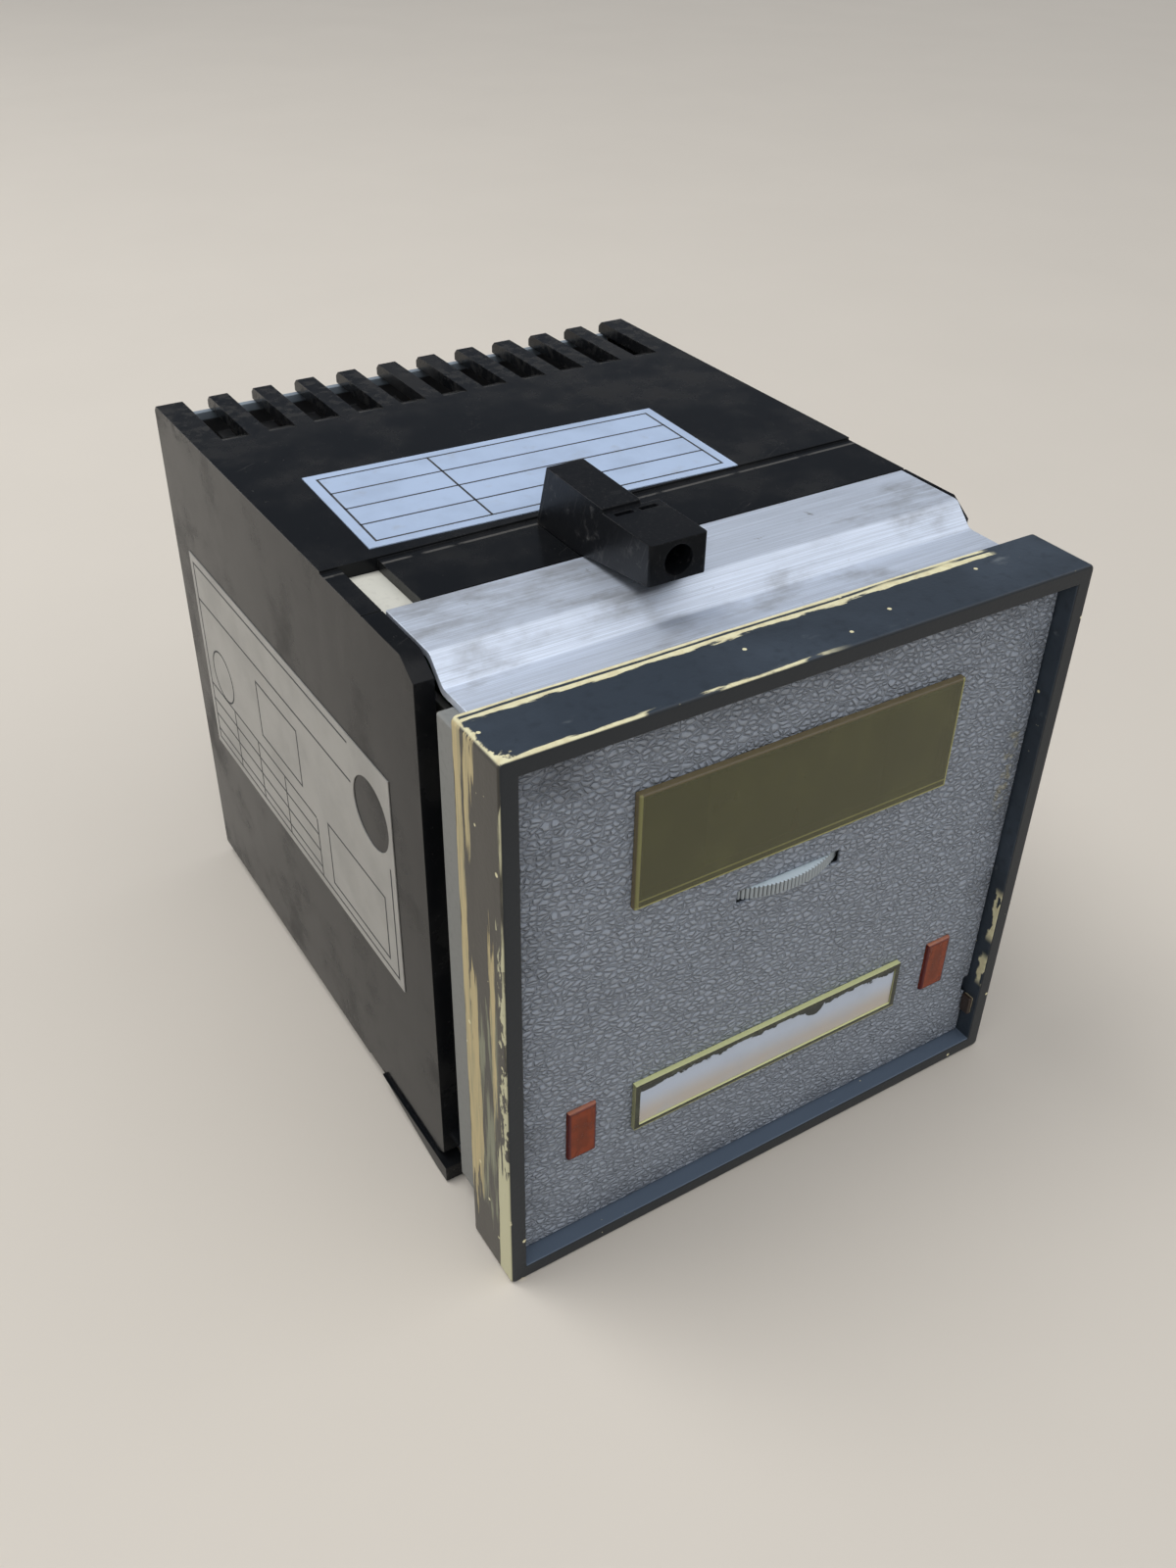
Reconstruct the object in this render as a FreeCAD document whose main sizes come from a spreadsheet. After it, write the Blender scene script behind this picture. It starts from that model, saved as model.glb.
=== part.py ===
import FreeCAD, Part
import math
import os
import re
import Sketcher
from FreeCAD import Vector

# Panel-mounted temperature controller, 96 x 96 mm front, in millimetres.
# Sketch coordinates: X to the right seen from the front, Y from the bezel's front face to the
# rear, Z up from the bezel's bottom edge. Every body is then placed so that the origin lies at
# the middle of the underside of the whole instrument.

# ---------------------------------------------------------------- driving dimensions
SIZES = {
    # front bezel
    "bezel_side": 96.0,
    "bezel_depth": 11.6,
    "bezel_rim": 2.7,
    "bezel_ledge": 4.0,
    "bezel_corner": 0.9,
    "bezel_edge": 0.5,
    "seat_width": 1.5,
    "seat_depth": 1.0,
    # grey collar that stands in the panel cut-out
    "collar_inset": 2.0,
    "collar_wall": 1.6,
    "collar_depth": 9.2,
    # sleeve: an open tube, pushed over the chassis from behind
    "panel_space": 12.0,
    "sleeve_length": 98.4,
    "sleeve_inset": 1.0,
    "sleeve_lift": 1.4,
    "side_wall": 3.0,
    "deck_wall": 2.2,
    "deck_setback": 15.0,
    "deck_step_run": 13.4,
    "deck_step": 0.4,
    "cheek_chamfer_run": 3.6,
    "cheek_chamfer_drop": 2.5,
    "seam_width": 0.3,
    "seam_depth": 0.15,
    "notch_width": 5.7,
    "foot_run": 22.0,
    "foot_toe": 1.6,
    "foot_proud": 0.6,
    "foot_lift": 0.3,
    "foot_heel": 0.6,
    # comb of wire slots along the rear edges
    "comb_pitch": 8.0,
    "comb_slot": 4.6,
    "comb_length": 20.8,
    "comb_ramp": 5.0,
    "comb_ramp_depth": 1.6,
    "comb_bevel": 0.9,
    # aluminium bands above and below the collar
    "band_thick": 1.2,
    "band_bend_run": 3.4,
    "band_bend_place": 2.1,
    "band_side_gap": 0.4,
    "band_lip": 0.8,
    "band_gap": 0.3,
    # front panel and what it carries
    "panel_recess": 2.8,
    "panel_thick": 2.0,
    "panel_gap": 0.35,
    "panel_notch_width": 1.1,
    "panel_notch_height": 3.6,
    "panel_notch_level": 14.2,
    "feature_shift": 0.3,
    "window_width": 55.2,
    "window_height": 18.9,
    "window_drop": 22.7,
    "window_proud": 1.2,
    "window_lip": 1.5,
    "window_bevel": 0.25,
    "indicator_width": 4.9,
    "indicator_height": 10.2,
    "indicator_inset": 13.3,
    "indicator_level": 24.0,
    "indicator_proud": 0.6,
    "indicator_bevel": 0.25,
    "indicator_flange": 0.5,
    "badge_width": 51.6,
    "badge_height": 9.6,
    "badge_level": 24.1,
    "badge_thick": 1.0,
    "badge_rim": 0.9,
    "badge_pocket": 0.5,
    "foil_thick": 0.2,
    "catch_level": 10.2,
    "catch_height": 3.6,
    "catch_depth": 1.9,
    "catch_thick": 0.9,
    # setting mechanism
    "wheel_radius": 19.0,
    "wheel_proud": 1.4,
    "wheel_thick": 1.9,
    "wheel_drop": 16.05,
    "wheel_grooves": 180,
    "wheel_groove_width": 0.36,
    "wheel_groove_depth": 0.3,
    "wheel_slot_width": 18.8,
    "wheel_slot_height": 2.4,
    "wheel_relief_width": 25.0,
    "wheel_relief_skin": 0.8,
    "wheel_gap": 0.4,
    "drum_radius": 14.2,
    "drum_wall": 1.2,
    "drum_lift": 3.7,
    "drum_height": 22.0,
    "drum_boss": 3.6,
    "hub_radius": 5.5,
    "spindle_radius": 3.0,
    "spindle_end": 2.4,
    "fit_gap": 0.04,
    "mask_thick": 0.8,
    "mask_opening": 31.0,
    "index_width": 1.8,
    "index_height": 5.0,
    "index_thick": 0.3,
    "pot_radius": 11.5,
    "pot_height": 11.0,
    "pot_tag_width": 11.0,
    "pot_tag_length": 5.0,
    "pot_tag_thick": 1.6,
    "bushing_radius": 4.6,
    "bracket_thick": 1.2,
    "bracket_width": 26.0,
    "nut_width": 12.0,
    "nut_thick": 1.6,
    "lamp_radius": 2.4,
    "lamp_length": 16.0,
    "lamp_nose": 1.2,
    "lead_radius": 0.4,
    "lead_spread": 1.2,
    # chassis
    "tray_thick": 1.2,
    "tray_side_gap": 1.2,
    "tray_top_gap": 5.8,
    "tray_end_gap": 3.6,
    "vent_height": 24.0,
    "vent_bridge": 6.0,
    "board_clearance": 3.6,
    "board_thick": 1.6,
    "board_lift": 5.5,
    "board_drop": 8.4,
    "spacer_width": 5.0,
    "spacer_length": 4.0,
    "spacer_inset": 7.5,
    "chip_length": 19.0,
    "chip_width": 6.4,
    "chip_thick": 3.4,
    "core_width": 33.0,
    "core_depth": 20.0,
    "core_height": 32.0,
    "core_leg": 5.5,
    "core_end_gap": 2.2,
    "coil_overhang": 7.0,
    "coil_gap": 0.1,
    "capacitor_radius": 7.0,
    "capacitor_height": 32.0,
    "relay_width": 20.0,
    "relay_height": 26.0,
    "part_gap": 1.6,
    # rear terminals
    "terminal_bay": 19.2,
    "rear_panel_thick": 2.0,
    "rear_gap": 0.15,
    "connector_inset": 3.0,
    "connector_width": 8.0,
    "connector_depth": 8.0,
    "connector_end": 1.1,
    "tongue_inset": 2.0,
    "tongue_gap": 2.6,
    "slide_gap": 0.3,
    "block_height": 15.0,
    "block_wall": 1.2,
    "block_rib": 2.4,
    "block_rib_drop": 4.0,
    "terminal_width": 4.8,
    "terminal_height": 6.4,
    "terminal_depth": 9.0,
    "screw_width": 3.4,
    "screw_head": 1.5,
    "driver_hole": 3.8,
    # card guides and skids inside the sleeve
    "guide_width": 6.0,
    "guide_height": 6.4,
    "guide_groove": 2.0,
    "guide_setback": 1.4,
    "guide_slack": 0.4,
    "skid_width": 8.0,
    "skid_height": 4.4,
    # mounting clamp hooked into the top of the sleeve
    "clamp_left": -13.4,
    "clamp_width": 9.2,
    "clamp_tower_width": 6.2,
    "clamp_overhang": 17.0,
    "clamp_foot": 12.2,
    "clamp_heel": 0.4,
    "clamp_lean": 2.8,
    "clamp_tower_height": 9.7,
    "clamp_crown_drop": 0.4,
    "clamp_block_height": 8.7,
    "clamp_block_run": 11.6,
    "clamp_nose_lift": 2.7,
    "clamp_edge": 0.5,
    "clamp_bore": 2.2,
    "clamp_bore_depth": 10.0,
    "clamp_bore_lift": 5.7,
    "slit_width": 0.9,
    "slit_length": 2.9,
    "slit_depth": 0.7,
    "slit_setback": 1.3,
    "slit_bridge": 1.1,
    "hook_width": 4.4,
    "hook_place": 9.4,
    "hook_length": 5.0,
    "hook_reach": 1.0,
    "hook_thick": 1.2,
    "hook_gap": 0.08,
    "hook_travel": 1.1,
    # labels
    "label_thick": 0.15,
    "top_label_width": 62.4,
    "top_label_depth": 26.8,
    "top_label_shift": -6.6,
    "top_label_setback": 28.0,
    "top_label_turn": 2.4,
    "side_label_front": 10.3,
    "side_label_rear": 7.3,
    "side_label_height": 40.0,
    "side_label_level": 52.2,
    "side_label_hole": 6.0,
    "side_label_hole_setback": 7.2,
    "side_label_hole_lift": 9.8,
}

# ---------------------------------------------------------------- places worked out from them
BEZEL_HALF = "(bezel_side / 2)"
SEAT = "(bezel_depth - seat_depth)"
COLLAR_HALF = f"({BEZEL_HALF} - collar_inset)"
SLEEVE_HALF = f"({BEZEL_HALF} - sleeve_inset)"
SLEEVE_BASE = "(sleeve_inset + sleeve_lift)"
SLEEVE_TOP = "(bezel_side - sleeve_inset + sleeve_lift)"
SLEEVE_FRONT = "(bezel_depth + panel_space)"
SLEEVE_REAR = f"({SLEEVE_FRONT} + sleeve_length)"
INNER_X = f"({SLEEVE_HALF} - side_wall)"
INNER_TOP = f"({SLEEVE_TOP} - deck_wall)"
INNER_BASE = f"({SLEEVE_BASE} + deck_wall)"
DECK_FRONT = f"({SLEEVE_FRONT} + deck_setback)"
STEP_PLACE = f"({DECK_FRONT} + deck_step_run)"
DECK_TOP = f"({SLEEVE_TOP} - deck_step)"
DECK_BASE = f"({SLEEVE_BASE} + deck_step)"
BAND_LEFT = f"({INNER_X} - band_side_gap)"
BAND_RIGHT = f"({SLEEVE_HALF} - band_lip)"
BAND_BEND = f"({SLEEVE_FRONT} + band_bend_place)"
PANEL_REAR = "(panel_recess + panel_thick)"
WINDOW_LEVEL = "(bezel_side - window_drop)"
WHEEL_LEVEL = f"({WINDOW_LEVEL} - wheel_drop)"
WHEEL_BASE = f"({WHEEL_LEVEL} - wheel_thick / 2)"
WHEEL_TOP = f"({WHEEL_LEVEL} + wheel_thick / 2)"
DRUM_BASE = f"({WHEEL_TOP} + drum_lift)"
AXLE_Y = "(panel_recess - wheel_proud + wheel_radius)"
BUSHING_TOP = f"({WHEEL_BASE} - wheel_gap)"
BRACKET_TOP = f"({BUSHING_TOP} - nut_thick)"
BRACKET_BASE = f"({BRACKET_TOP} - bracket_thick)"
FRONT_BOARD = f"({AXLE_Y} + wheel_radius + board_clearance)"
BOARD_BACK = f"({FRONT_BOARD} + board_thick)"
REAR_PANEL = f"({SLEEVE_REAR} - terminal_bay)"
REAR_PANEL_BACK = f"({REAR_PANEL} + rear_panel_thick)"
BLOCK_REAR = f"({SLEEVE_REAR} - rear_gap)"
COMB_COUNT = f"floor(2 * {INNER_X} / comb_pitch + fit_gap)"
COMB_LEFT = f"(-comb_pitch * ({COMB_COUNT} - 1) / 2)"
TRAY_HALF = f"({INNER_X} - tray_side_gap)"
TRAY_FLOOR = f"({INNER_BASE} + skid_height + slide_gap)"
FLOOR_TOP = f"({TRAY_FLOOR} + tray_thick)"
TRAY_TOP = f"({INNER_TOP} - tray_top_gap)"
TRAY_REAR = f"({REAR_PANEL} - tray_end_gap)"
BOARD_X = f"({TRAY_HALF} - tray_thick - spacer_length - board_thick)"
BOARD_BASE = f"({FLOOR_TOP} + board_lift)"
BOARD_TOP = f"({TRAY_TOP} - board_drop)"
CONNECTOR_FRONT = f"({REAR_PANEL} - connector_depth)"
TONGUE_REAR = f"({REAR_PANEL} - tongue_gap)"
COIL_REAR = f"({TRAY_REAR} - core_end_gap)"
CORE_FRONT = f"({COIL_REAR} - coil_overhang - core_depth)"
COIL_FRONT = f"({CORE_FRONT} - coil_overhang)"
GUIDE_FRONT = f"({DECK_FRONT} + guide_setback)"

doc = FreeCAD.newDocument("temperature_controller")
sheet = doc.addObject("Spreadsheet::Sheet", "Sizes")
for row, (alias, value) in enumerate(SIZES.items(), start=1):
    sheet.set(f"A{row}", alias)
    sheet.set(f"B{row}", str(value))
    sheet.setAlias(f"B{row}", alias)
doc.recompute()

nodes = []
SEED_SIZE = 10  # where a sketch's points start, before their expressions place them
NEAR = 1e-4  # how close an edge has to lie to be chosen


# ---------------------------------------------------------------- helpers
def bound(text):
    """An expression with every size's name turned into its cell of the sheet."""
    return re.sub(r"[a-z_]+", lambda word: f"Sizes.{word[0]}" if word[0] in SIZES else word[0], text)


def worked_out(text):
    """The value of an expression, worked out from the sheet."""
    return float(sheet.evalExpression(bound(text)))


def new_body(label):
    """A PartDesign body, placed so that the origin is under the middle of the instrument."""
    body = doc.addObject("PartDesign::Body", label)
    body.Label = label
    body.setExpression("Placement.Base.y", bound(f"-{SLEEVE_REAR} / 2"))
    nodes.append(body)
    return body


def origin_item(body, role):
    """One of the body's own origin planes or axes."""
    return next(item for item in body.Origin.OriginFeatures if item.Role == role)


def new_sketch(body, plane, place):
    """A sketch on one of the body's own origin planes, moved along the plane's axis to a place."""
    sketch = body.newObject("Sketcher::SketchObject", f"{body.Label}_sketch")
    sketch.AttachmentSupport = [(origin_item(body, f"{plane}_Plane"), "")]
    sketch.MapMode = "FlatFace"
    sign = "-" if plane == "XZ" else ""
    sketch.setExpression("AttachmentOffset.Base.z", bound(f"{sign}({place})"))
    return sketch


def add_outline(sketch, points):
    """A closed outline of straight lines whose corners are bound to expressions."""
    count = len(points)
    first = sketch.GeometryCount
    seeds = []
    for corner in range(count):
        angle = 2 * math.pi * corner / count
        seeds.append(Vector(SEED_SIZE * math.cos(angle), SEED_SIZE * math.sin(angle), 0))
    for corner in range(count):
        sketch.addGeometry(Part.LineSegment(seeds[corner], seeds[(corner + 1) % count]), False)
    rules = []
    for corner in range(count):
        following = first + (corner + 1) % count
        rules.append(Sketcher.Constraint("Coincident", first + corner, 2, following, 1))
    start = sketch.ConstraintCount + len(rules)
    for corner in range(count):
        rules.append(Sketcher.Constraint("DistanceX", -1, 1, first + corner, 1, seeds[corner].x))
        rules.append(Sketcher.Constraint("DistanceY", -1, 1, first + corner, 1, seeds[corner].y))
    sketch.addConstraint(rules)
    for corner, (across, up) in enumerate(points):
        sketch.setExpression(f"Constraints[{start + 2 * corner}]", bound(across))
        sketch.setExpression(f"Constraints[{start + 2 * corner + 1}]", bound(up))


def add_circle(sketch, across, up, radius):
    """A circle whose centre and radius are bound to expressions."""
    centre = Vector(SEED_SIZE, SEED_SIZE, 0)
    circle = sketch.addGeometry(Part.Circle(centre, Vector(0, 0, 1), SEED_SIZE), False)
    start = sketch.ConstraintCount
    sketch.addConstraint([
        Sketcher.Constraint("DistanceX", -1, 1, circle, 3, SEED_SIZE),
        Sketcher.Constraint("DistanceY", -1, 1, circle, 3, SEED_SIZE),
        Sketcher.Constraint("Radius", circle, SEED_SIZE),
    ])
    sketch.setExpression(f"Constraints[{start}]", bound(across))
    sketch.setExpression(f"Constraints[{start + 1}]", bound(up))
    sketch.setExpression(f"Constraints[{start + 2}]", bound(radius))


def box_points(left, low, right, high):
    return [(left, low), (right, low), (right, high), (left, high)]


def centred_points(across, up, width, height):
    half_width = f"({width}) / 2"
    half_height = f"({height}) / 2"
    return box_points(f"{across} - {half_width}", f"{up} - {half_height}",
                      f"{across} + {half_width}", f"{up} + {half_height}")


def hexagon_points(across, up, width):
    """The corners of a regular hexagon, from its width across the flats."""
    points = []
    for corner in range(6):
        turn = f"{60 * corner} deg"
        reach = f"({width}) / 2 / cos(30 deg)"
        points.append((f"{across} + {reach} * cos({turn})", f"{up} + {reach} * sin({turn})"))
    return points


def feature(body, kind, sketch, length):
    """A Pad or Pocket that runs towards +X, +Y or +Z from its sketch."""
    made = body.newObject(f"PartDesign::{kind}", f"{body.Label}_{kind.lower()}")
    made.Profile = sketch
    made.setExpression("Length", bound(length))
    on_front = "XZ" in sketch.AttachmentSupport[0][0].Role
    made.Reversed = on_front if kind == "Pad" else not on_front
    return made


def pad(body, plane, place, length, points):
    """A pad of one outline, from a place along the plane's axis."""
    sketch = new_sketch(body, plane, place)
    add_outline(sketch, points)
    return feature(body, "Pad", sketch, length)


def pad_disc(body, plane, place, length, across, up, radius):
    sketch = new_sketch(body, plane, place)
    add_circle(sketch, across, up, radius)
    return feature(body, "Pad", sketch, length)


def cut(body, plane, place, length, points):
    """A pocket of one outline, from a place along the plane's axis."""
    sketch = new_sketch(body, plane, place)
    add_outline(sketch, points)
    return cutting(body, sketch, length)


def cut_disc(body, plane, place, length, across, up, radius):
    sketch = new_sketch(body, plane, place)
    add_circle(sketch, across, up, radius)
    return cutting(body, sketch, length)


def cutting(body, sketch, length):
    """A Pocket that has to take material away."""
    before = body.Tip
    made = feature(body, "Pocket", sketch, length)
    doc.recompute()
    if not made.Shape.Volume < before.Shape.Volume:
        raise RuntimeError(f"{made.Name} takes nothing away from {body.Label}")
    return made


def in_row(body, made, axis, pitch, count):
    """A linear pattern of one feature along an origin axis, starting at the feature itself."""
    row = body.newObject("PartDesign::LinearPattern", f"{body.Label}_row")
    row.Originals = [made]
    row.Direction = (origin_item(body, f"{axis}_Axis"), [""])
    row.setExpression("Length", bound(f"{pitch} * ({count} - 1)"))
    row.setExpression("Occurrences", bound(count))
    body.Tip = row
    doc.recompute()
    return row


def finish_edges(body, kind, size, chosen):
    """A Fillet or Chamfer on the edges of the body that pass the test."""
    doc.recompute()
    base = body.Tip
    names = []
    for number, edge in enumerate(base.Shape.Edges, start=1):
        if chosen(edge):
            names.append(f"Edge{number}")
    made = body.newObject(f"PartDesign::{kind}", f"{body.Label}_{kind.lower()}")
    made.Base = (base, names)
    made.setExpression("Radius" if kind == "Fillet" else "Size", bound(size))
    doc.recompute()
    return made


def along(edge, axis):
    """Whether an edge is straight and runs along one axis, 0 for X, 1 for Y and 2 for Z."""
    if len(edge.Vertexes) < 2:
        return False
    step = edge.Vertexes[1].Point - edge.Vertexes[0].Point
    return abs(abs(step[axis]) - step.Length) < NEAR


def lies_at(edge, axis, value):
    """Whether a whole edge lies at one coordinate."""
    return all(abs(vertex.Point[axis] - value) < NEAR for vertex in edge.Vertexes)


# ---------------------------------------------------------------- bezel, collar and bands
def make_bezel():
    """A deep square frame: rim, ledge for the panel, and a rear seat for the collar and bands."""
    body = new_body("bezel_frame")

    def opening(rim):
        return box_points(f"{rim} - {BEZEL_HALF}", rim, f"{BEZEL_HALF} - {rim}", f"bezel_side - {rim}")

    pad(body, "XZ", "0", "bezel_depth", opening("0"))
    cut(body, "XZ", "0", PANEL_REAR, opening("bezel_rim"))
    cut(body, "XZ", PANEL_REAR, f"bezel_depth - {PANEL_REAR}", opening("(bezel_rim + bezel_ledge)"))
    cut(body, "XZ", SEAT, "seat_depth", opening("seat_width"))
    half = worked_out(BEZEL_HALF)

    def outer_corner(edge):
        point = edge.Vertexes[0].Point
        return along(edge, 1) and min(abs(point.x), abs(point.z - half)) > half - NEAR

    finish_edges(body, "Fillet", "bezel_corner", outer_corner)
    corner = worked_out("bezel_corner")

    def outer_front(edge):
        middle = edge.CenterOfMass
        return lies_at(edge, 1, 0) and max(abs(middle.x), abs(middle.z - half)) > half - corner

    finish_edges(body, "Fillet", "bezel_edge", outer_front)


def make_collar():
    """The grey ring behind the bezel that fills the cut-out between the two bands."""
    body = new_body("cutout_collar")
    low = f"({DECK_BASE} + band_thick)"
    high = f"({DECK_TOP} - band_bend_run - band_thick)"

    def ring(wall):
        half = f"({COLLAR_HALF} - {wall})"
        return box_points(f"-{half}", f"{low} + {wall}", half, f"{high} - {wall}")

    pad(body, "XZ", SEAT, "collar_depth", ring("0"))
    cut(body, "XZ", SEAT, "collar_depth", ring("collar_wall"))


def make_upper_band():
    """Bent aluminium strip from the bezel up over the collar to the deck of the sleeve."""
    body = new_body("chassis_band_top")
    low_bend = f"({BAND_BEND} - band_bend_run)"
    low_level = f"({DECK_TOP} - band_bend_run)"
    turn = "(band_thick * tan(22.5 deg))"
    rear = f"({DECK_FRONT} - band_gap)"
    pad(body, "YZ", f"-{BAND_LEFT}", f"{BAND_LEFT} + {BAND_RIGHT}", [
        (SEAT, low_level),
        (low_bend, low_level),
        (BAND_BEND, DECK_TOP),
        (rear, DECK_TOP),
        (rear, f"{DECK_TOP} - band_thick"),
        (f"{BAND_BEND} + {turn}", f"{DECK_TOP} - band_thick"),
        (f"{low_bend} + {turn}", f"{low_level} - band_thick"),
        (SEAT, f"{low_level} - band_thick"),
    ])


def make_lower_band():
    """Flat aluminium strip from the bezel under the collar to the floor of the sleeve."""
    body = new_body("chassis_band_bottom")
    pad(body, "YZ", f"-{BAND_LEFT}", f"2 * {BAND_LEFT}",
        box_points(SEAT, DECK_BASE, f"{DECK_FRONT} - band_gap", f"{DECK_BASE} + band_thick"))


# ---------------------------------------------------------------- sleeve
def make_sleeve():
    """Moulded sleeve with cheeks beside the bands, stepped deck, notch, feet and wire combs."""
    body = new_body("case_sleeve")
    across = f"-{SLEEVE_HALF}", f"2 * {SLEEVE_HALF}"
    outline = box_points(f"-{SLEEVE_HALF}", SLEEVE_BASE, SLEEVE_HALF, SLEEVE_TOP)
    hollow = box_points(f"-{INNER_X}", INNER_BASE, INNER_X, INNER_TOP)
    mouth = box_points(f"-{INNER_X}", SLEEVE_BASE, INNER_X, SLEEVE_TOP)
    pad(body, "XZ", SLEEVE_FRONT, "sleeve_length", outline)
    cut(body, "XZ", SLEEVE_FRONT, "sleeve_length", hollow)
    cut(body, "XZ", SLEEVE_FRONT, "deck_setback", mouth)
    for outer, level, inward in ((SLEEVE_TOP, DECK_TOP, "-"), (SLEEVE_BASE, DECK_BASE, "+")):
        cut(body, "YZ", *across, box_points(SLEEVE_FRONT, level, STEP_PLACE, outer))
        cut(body, "YZ", *across, [
            (SLEEVE_FRONT, level),
            (f"{SLEEVE_FRONT} + cheek_chamfer_run", level),
            (SLEEVE_FRONT, f"{level} {inward} cheek_chamfer_drop"),
        ])
    seam = f"({DECK_FRONT} - seam_width)"
    cut(body, "YZ", *across, box_points(seam, f"{DECK_TOP} - seam_depth", DECK_FRONT, DECK_TOP))
    cut_rebate(body)
    cut_notch(body)
    cut_hook_slot(body)
    cut_comb(body, INNER_TOP, SLEEVE_TOP, "-")
    cut_comb(body, SLEEVE_BASE, SLEEVE_BASE, "+")
    rear = worked_out(SLEEVE_REAR)
    top = worked_out(SLEEVE_TOP)
    finish_edges(body, "Chamfer", "comb_bevel",
                 lambda edge: along(edge, 0) and lies_at(edge, 1, rear) and lies_at(edge, 2, top))
    for left in (f"-({SLEEVE_HALF} + foot_proud)", INNER_X):
        add_foot(body, left)


def cut_rebate(body):
    """The right cheek is cut back under the end of the upper band, which laps over it."""
    edge = f"({SLEEVE_FRONT} - band_gap)"
    over = f"({DECK_TOP} + band_gap)"
    clear = "(band_thick + band_gap)"
    bend = f"({BAND_BEND} + {clear} * tan(22.5 deg))"
    cut(body, "YZ", INNER_X, f"{BAND_RIGHT} + band_gap - {INNER_X}", [
        (edge, over),
        (DECK_FRONT, over),
        (DECK_FRONT, f"{DECK_TOP} - {clear}"),
        (bend, f"{DECK_TOP} - {clear}"),
        (edge, f"{DECK_TOP} - {clear} - ({bend} - {edge})"),
    ])


def cut_notch(body):
    """The notch at the left end of the deck's front edge, over the card guide."""
    cut(body, "XZ", DECK_FRONT, "deck_step_run",
        box_points(f"-{INNER_X}", INNER_TOP, f"notch_width - {INNER_X}", DECK_TOP))


def cut_hook_slot(body):
    """The hole in the deck that the clamp's hook drops through before it slides forward."""
    start = f"({DECK_FRONT} + hook_place - hook_length - hook_gap)"
    cut(body, "XZ", start, "hook_length + hook_travel + 2 * hook_gap", centred_points(
        "(clamp_left + clamp_tower_width / 2)", f"(({INNER_TOP} + {DECK_TOP}) / 2)",
        "hook_width + 2 * hook_gap", f"{DECK_TOP} - {INNER_TOP}"))


def cut_comb(body, level, face, inward):
    """A row of wire slots, open at the rear, each with a ramp down to it from the deck's face."""
    slot = cut(body, "XZ", f"{SLEEVE_REAR} - comb_length + comb_ramp", "comb_length - comb_ramp",
               box_points(f"{COMB_LEFT} - comb_slot / 2", level, f"{COMB_LEFT} + comb_slot / 2",
                          f"{level} + deck_wall"))
    in_row(body, slot, "X", "comb_pitch", COMB_COUNT)
    end = f"({SLEEVE_REAR} - comb_length + comb_ramp)"
    ramp = cut(body, "YZ", f"{COMB_LEFT} - comb_slot / 2", "comb_slot", [
        (f"{end} - comb_ramp", face),
        (end, face),
        (end, f"{face} {inward} comb_ramp_depth"),
    ])
    in_row(body, ramp, "X", "comb_pitch", COMB_COUNT)


def add_foot(body, left):
    """Tapered foot under a front corner, a wedge that ends in a blunt toe."""
    toe = f"({SLEEVE_FRONT} - foot_toe)"
    top = f"({DECK_BASE} + foot_heel)"
    pad(body, "YZ", left, "side_wall + foot_proud", [
        (toe, "foot_lift"),
        (f"{SLEEVE_FRONT} + foot_toe", "foot_lift"),
        (f"{SLEEVE_FRONT} + foot_run", top),
        (toe, top),
    ])


# ---------------------------------------------------------------- front panel and its fittings
def make_panel():
    """Textured panel with openings for the window, thumbwheel and two indicators."""
    body = new_body("front_panel")
    inset = "(bezel_rim + panel_gap)"
    pad(body, "XZ", "panel_recess", "panel_thick",
        box_points(f"{inset} - {BEZEL_HALF}", inset, f"{BEZEL_HALF} - {inset}", f"bezel_side - {inset}"))
    cut(body, "XZ", "panel_recess", "panel_thick", centred_points(
        "feature_shift", WINDOW_LEVEL, "window_width - 2 * window_lip", "window_height - 2 * window_lip"))
    cut(body, "XZ", "panel_recess", "panel_thick", centred_points(
        "feature_shift", WHEEL_LEVEL, "wheel_slot_width", "wheel_slot_height"))
    cut(body, "XZ", "panel_recess + wheel_relief_skin", "panel_thick - wheel_relief_skin", centred_points(
        "feature_shift", WHEEL_LEVEL, "wheel_relief_width", "wheel_slot_height"))
    for middle in (indicator_place("-"), indicator_place("+")):
        cut(body, "XZ", "panel_recess", "panel_thick", centred_points(
            middle, "indicator_level", "indicator_width", "indicator_height"))
    cut(body, "XZ", "panel_recess", "panel_thick", centred_points(
        f"({BEZEL_HALF} - {inset})", "panel_notch_level", "2 * panel_notch_width", "panel_notch_height"))


def indicator_place(sign):
    return f"(feature_shift {sign} ({BEZEL_HALF} - indicator_inset))"


def make_window():
    """Tinted window: a plate on the panel with a plug that fills the opening behind it."""
    body = new_body("display_window")
    front = "(panel_recess - window_proud)"
    shrink = "2 * (window_lip + fit_gap)"
    pad(body, "XZ", front, "window_proud", centred_points(
        "feature_shift", WINDOW_LEVEL, "window_width", "window_height"))
    pad(body, "XZ", "panel_recess", "panel_thick", centred_points(
        "feature_shift", WINDOW_LEVEL, f"window_width - {shrink}", f"window_height - {shrink}"))
    face = worked_out(front)
    finish_edges(body, "Chamfer", "window_bevel", lambda edge: lies_at(edge, 1, face))


def make_indicator(side, sign):
    """Orange lens pushed through the panel, with a flange behind it."""
    body = new_body(f"indicator_{side}")
    middle = indicator_place(sign)
    front = "(panel_recess - indicator_proud)"
    pad(body, "XZ", front, "indicator_proud + panel_thick", centred_points(
        middle, "indicator_level", "indicator_width - 2 * fit_gap", "indicator_height - 2 * fit_gap"))
    pad(body, "XZ", PANEL_REAR, "panel_thick", centred_points(
        middle, "indicator_level", "indicator_width + 2 * indicator_flange",
        "indicator_height + 2 * indicator_flange"))
    face = worked_out(front)
    finish_edges(body, "Chamfer", "indicator_bevel", lambda edge: lies_at(edge, 1, face))


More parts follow.
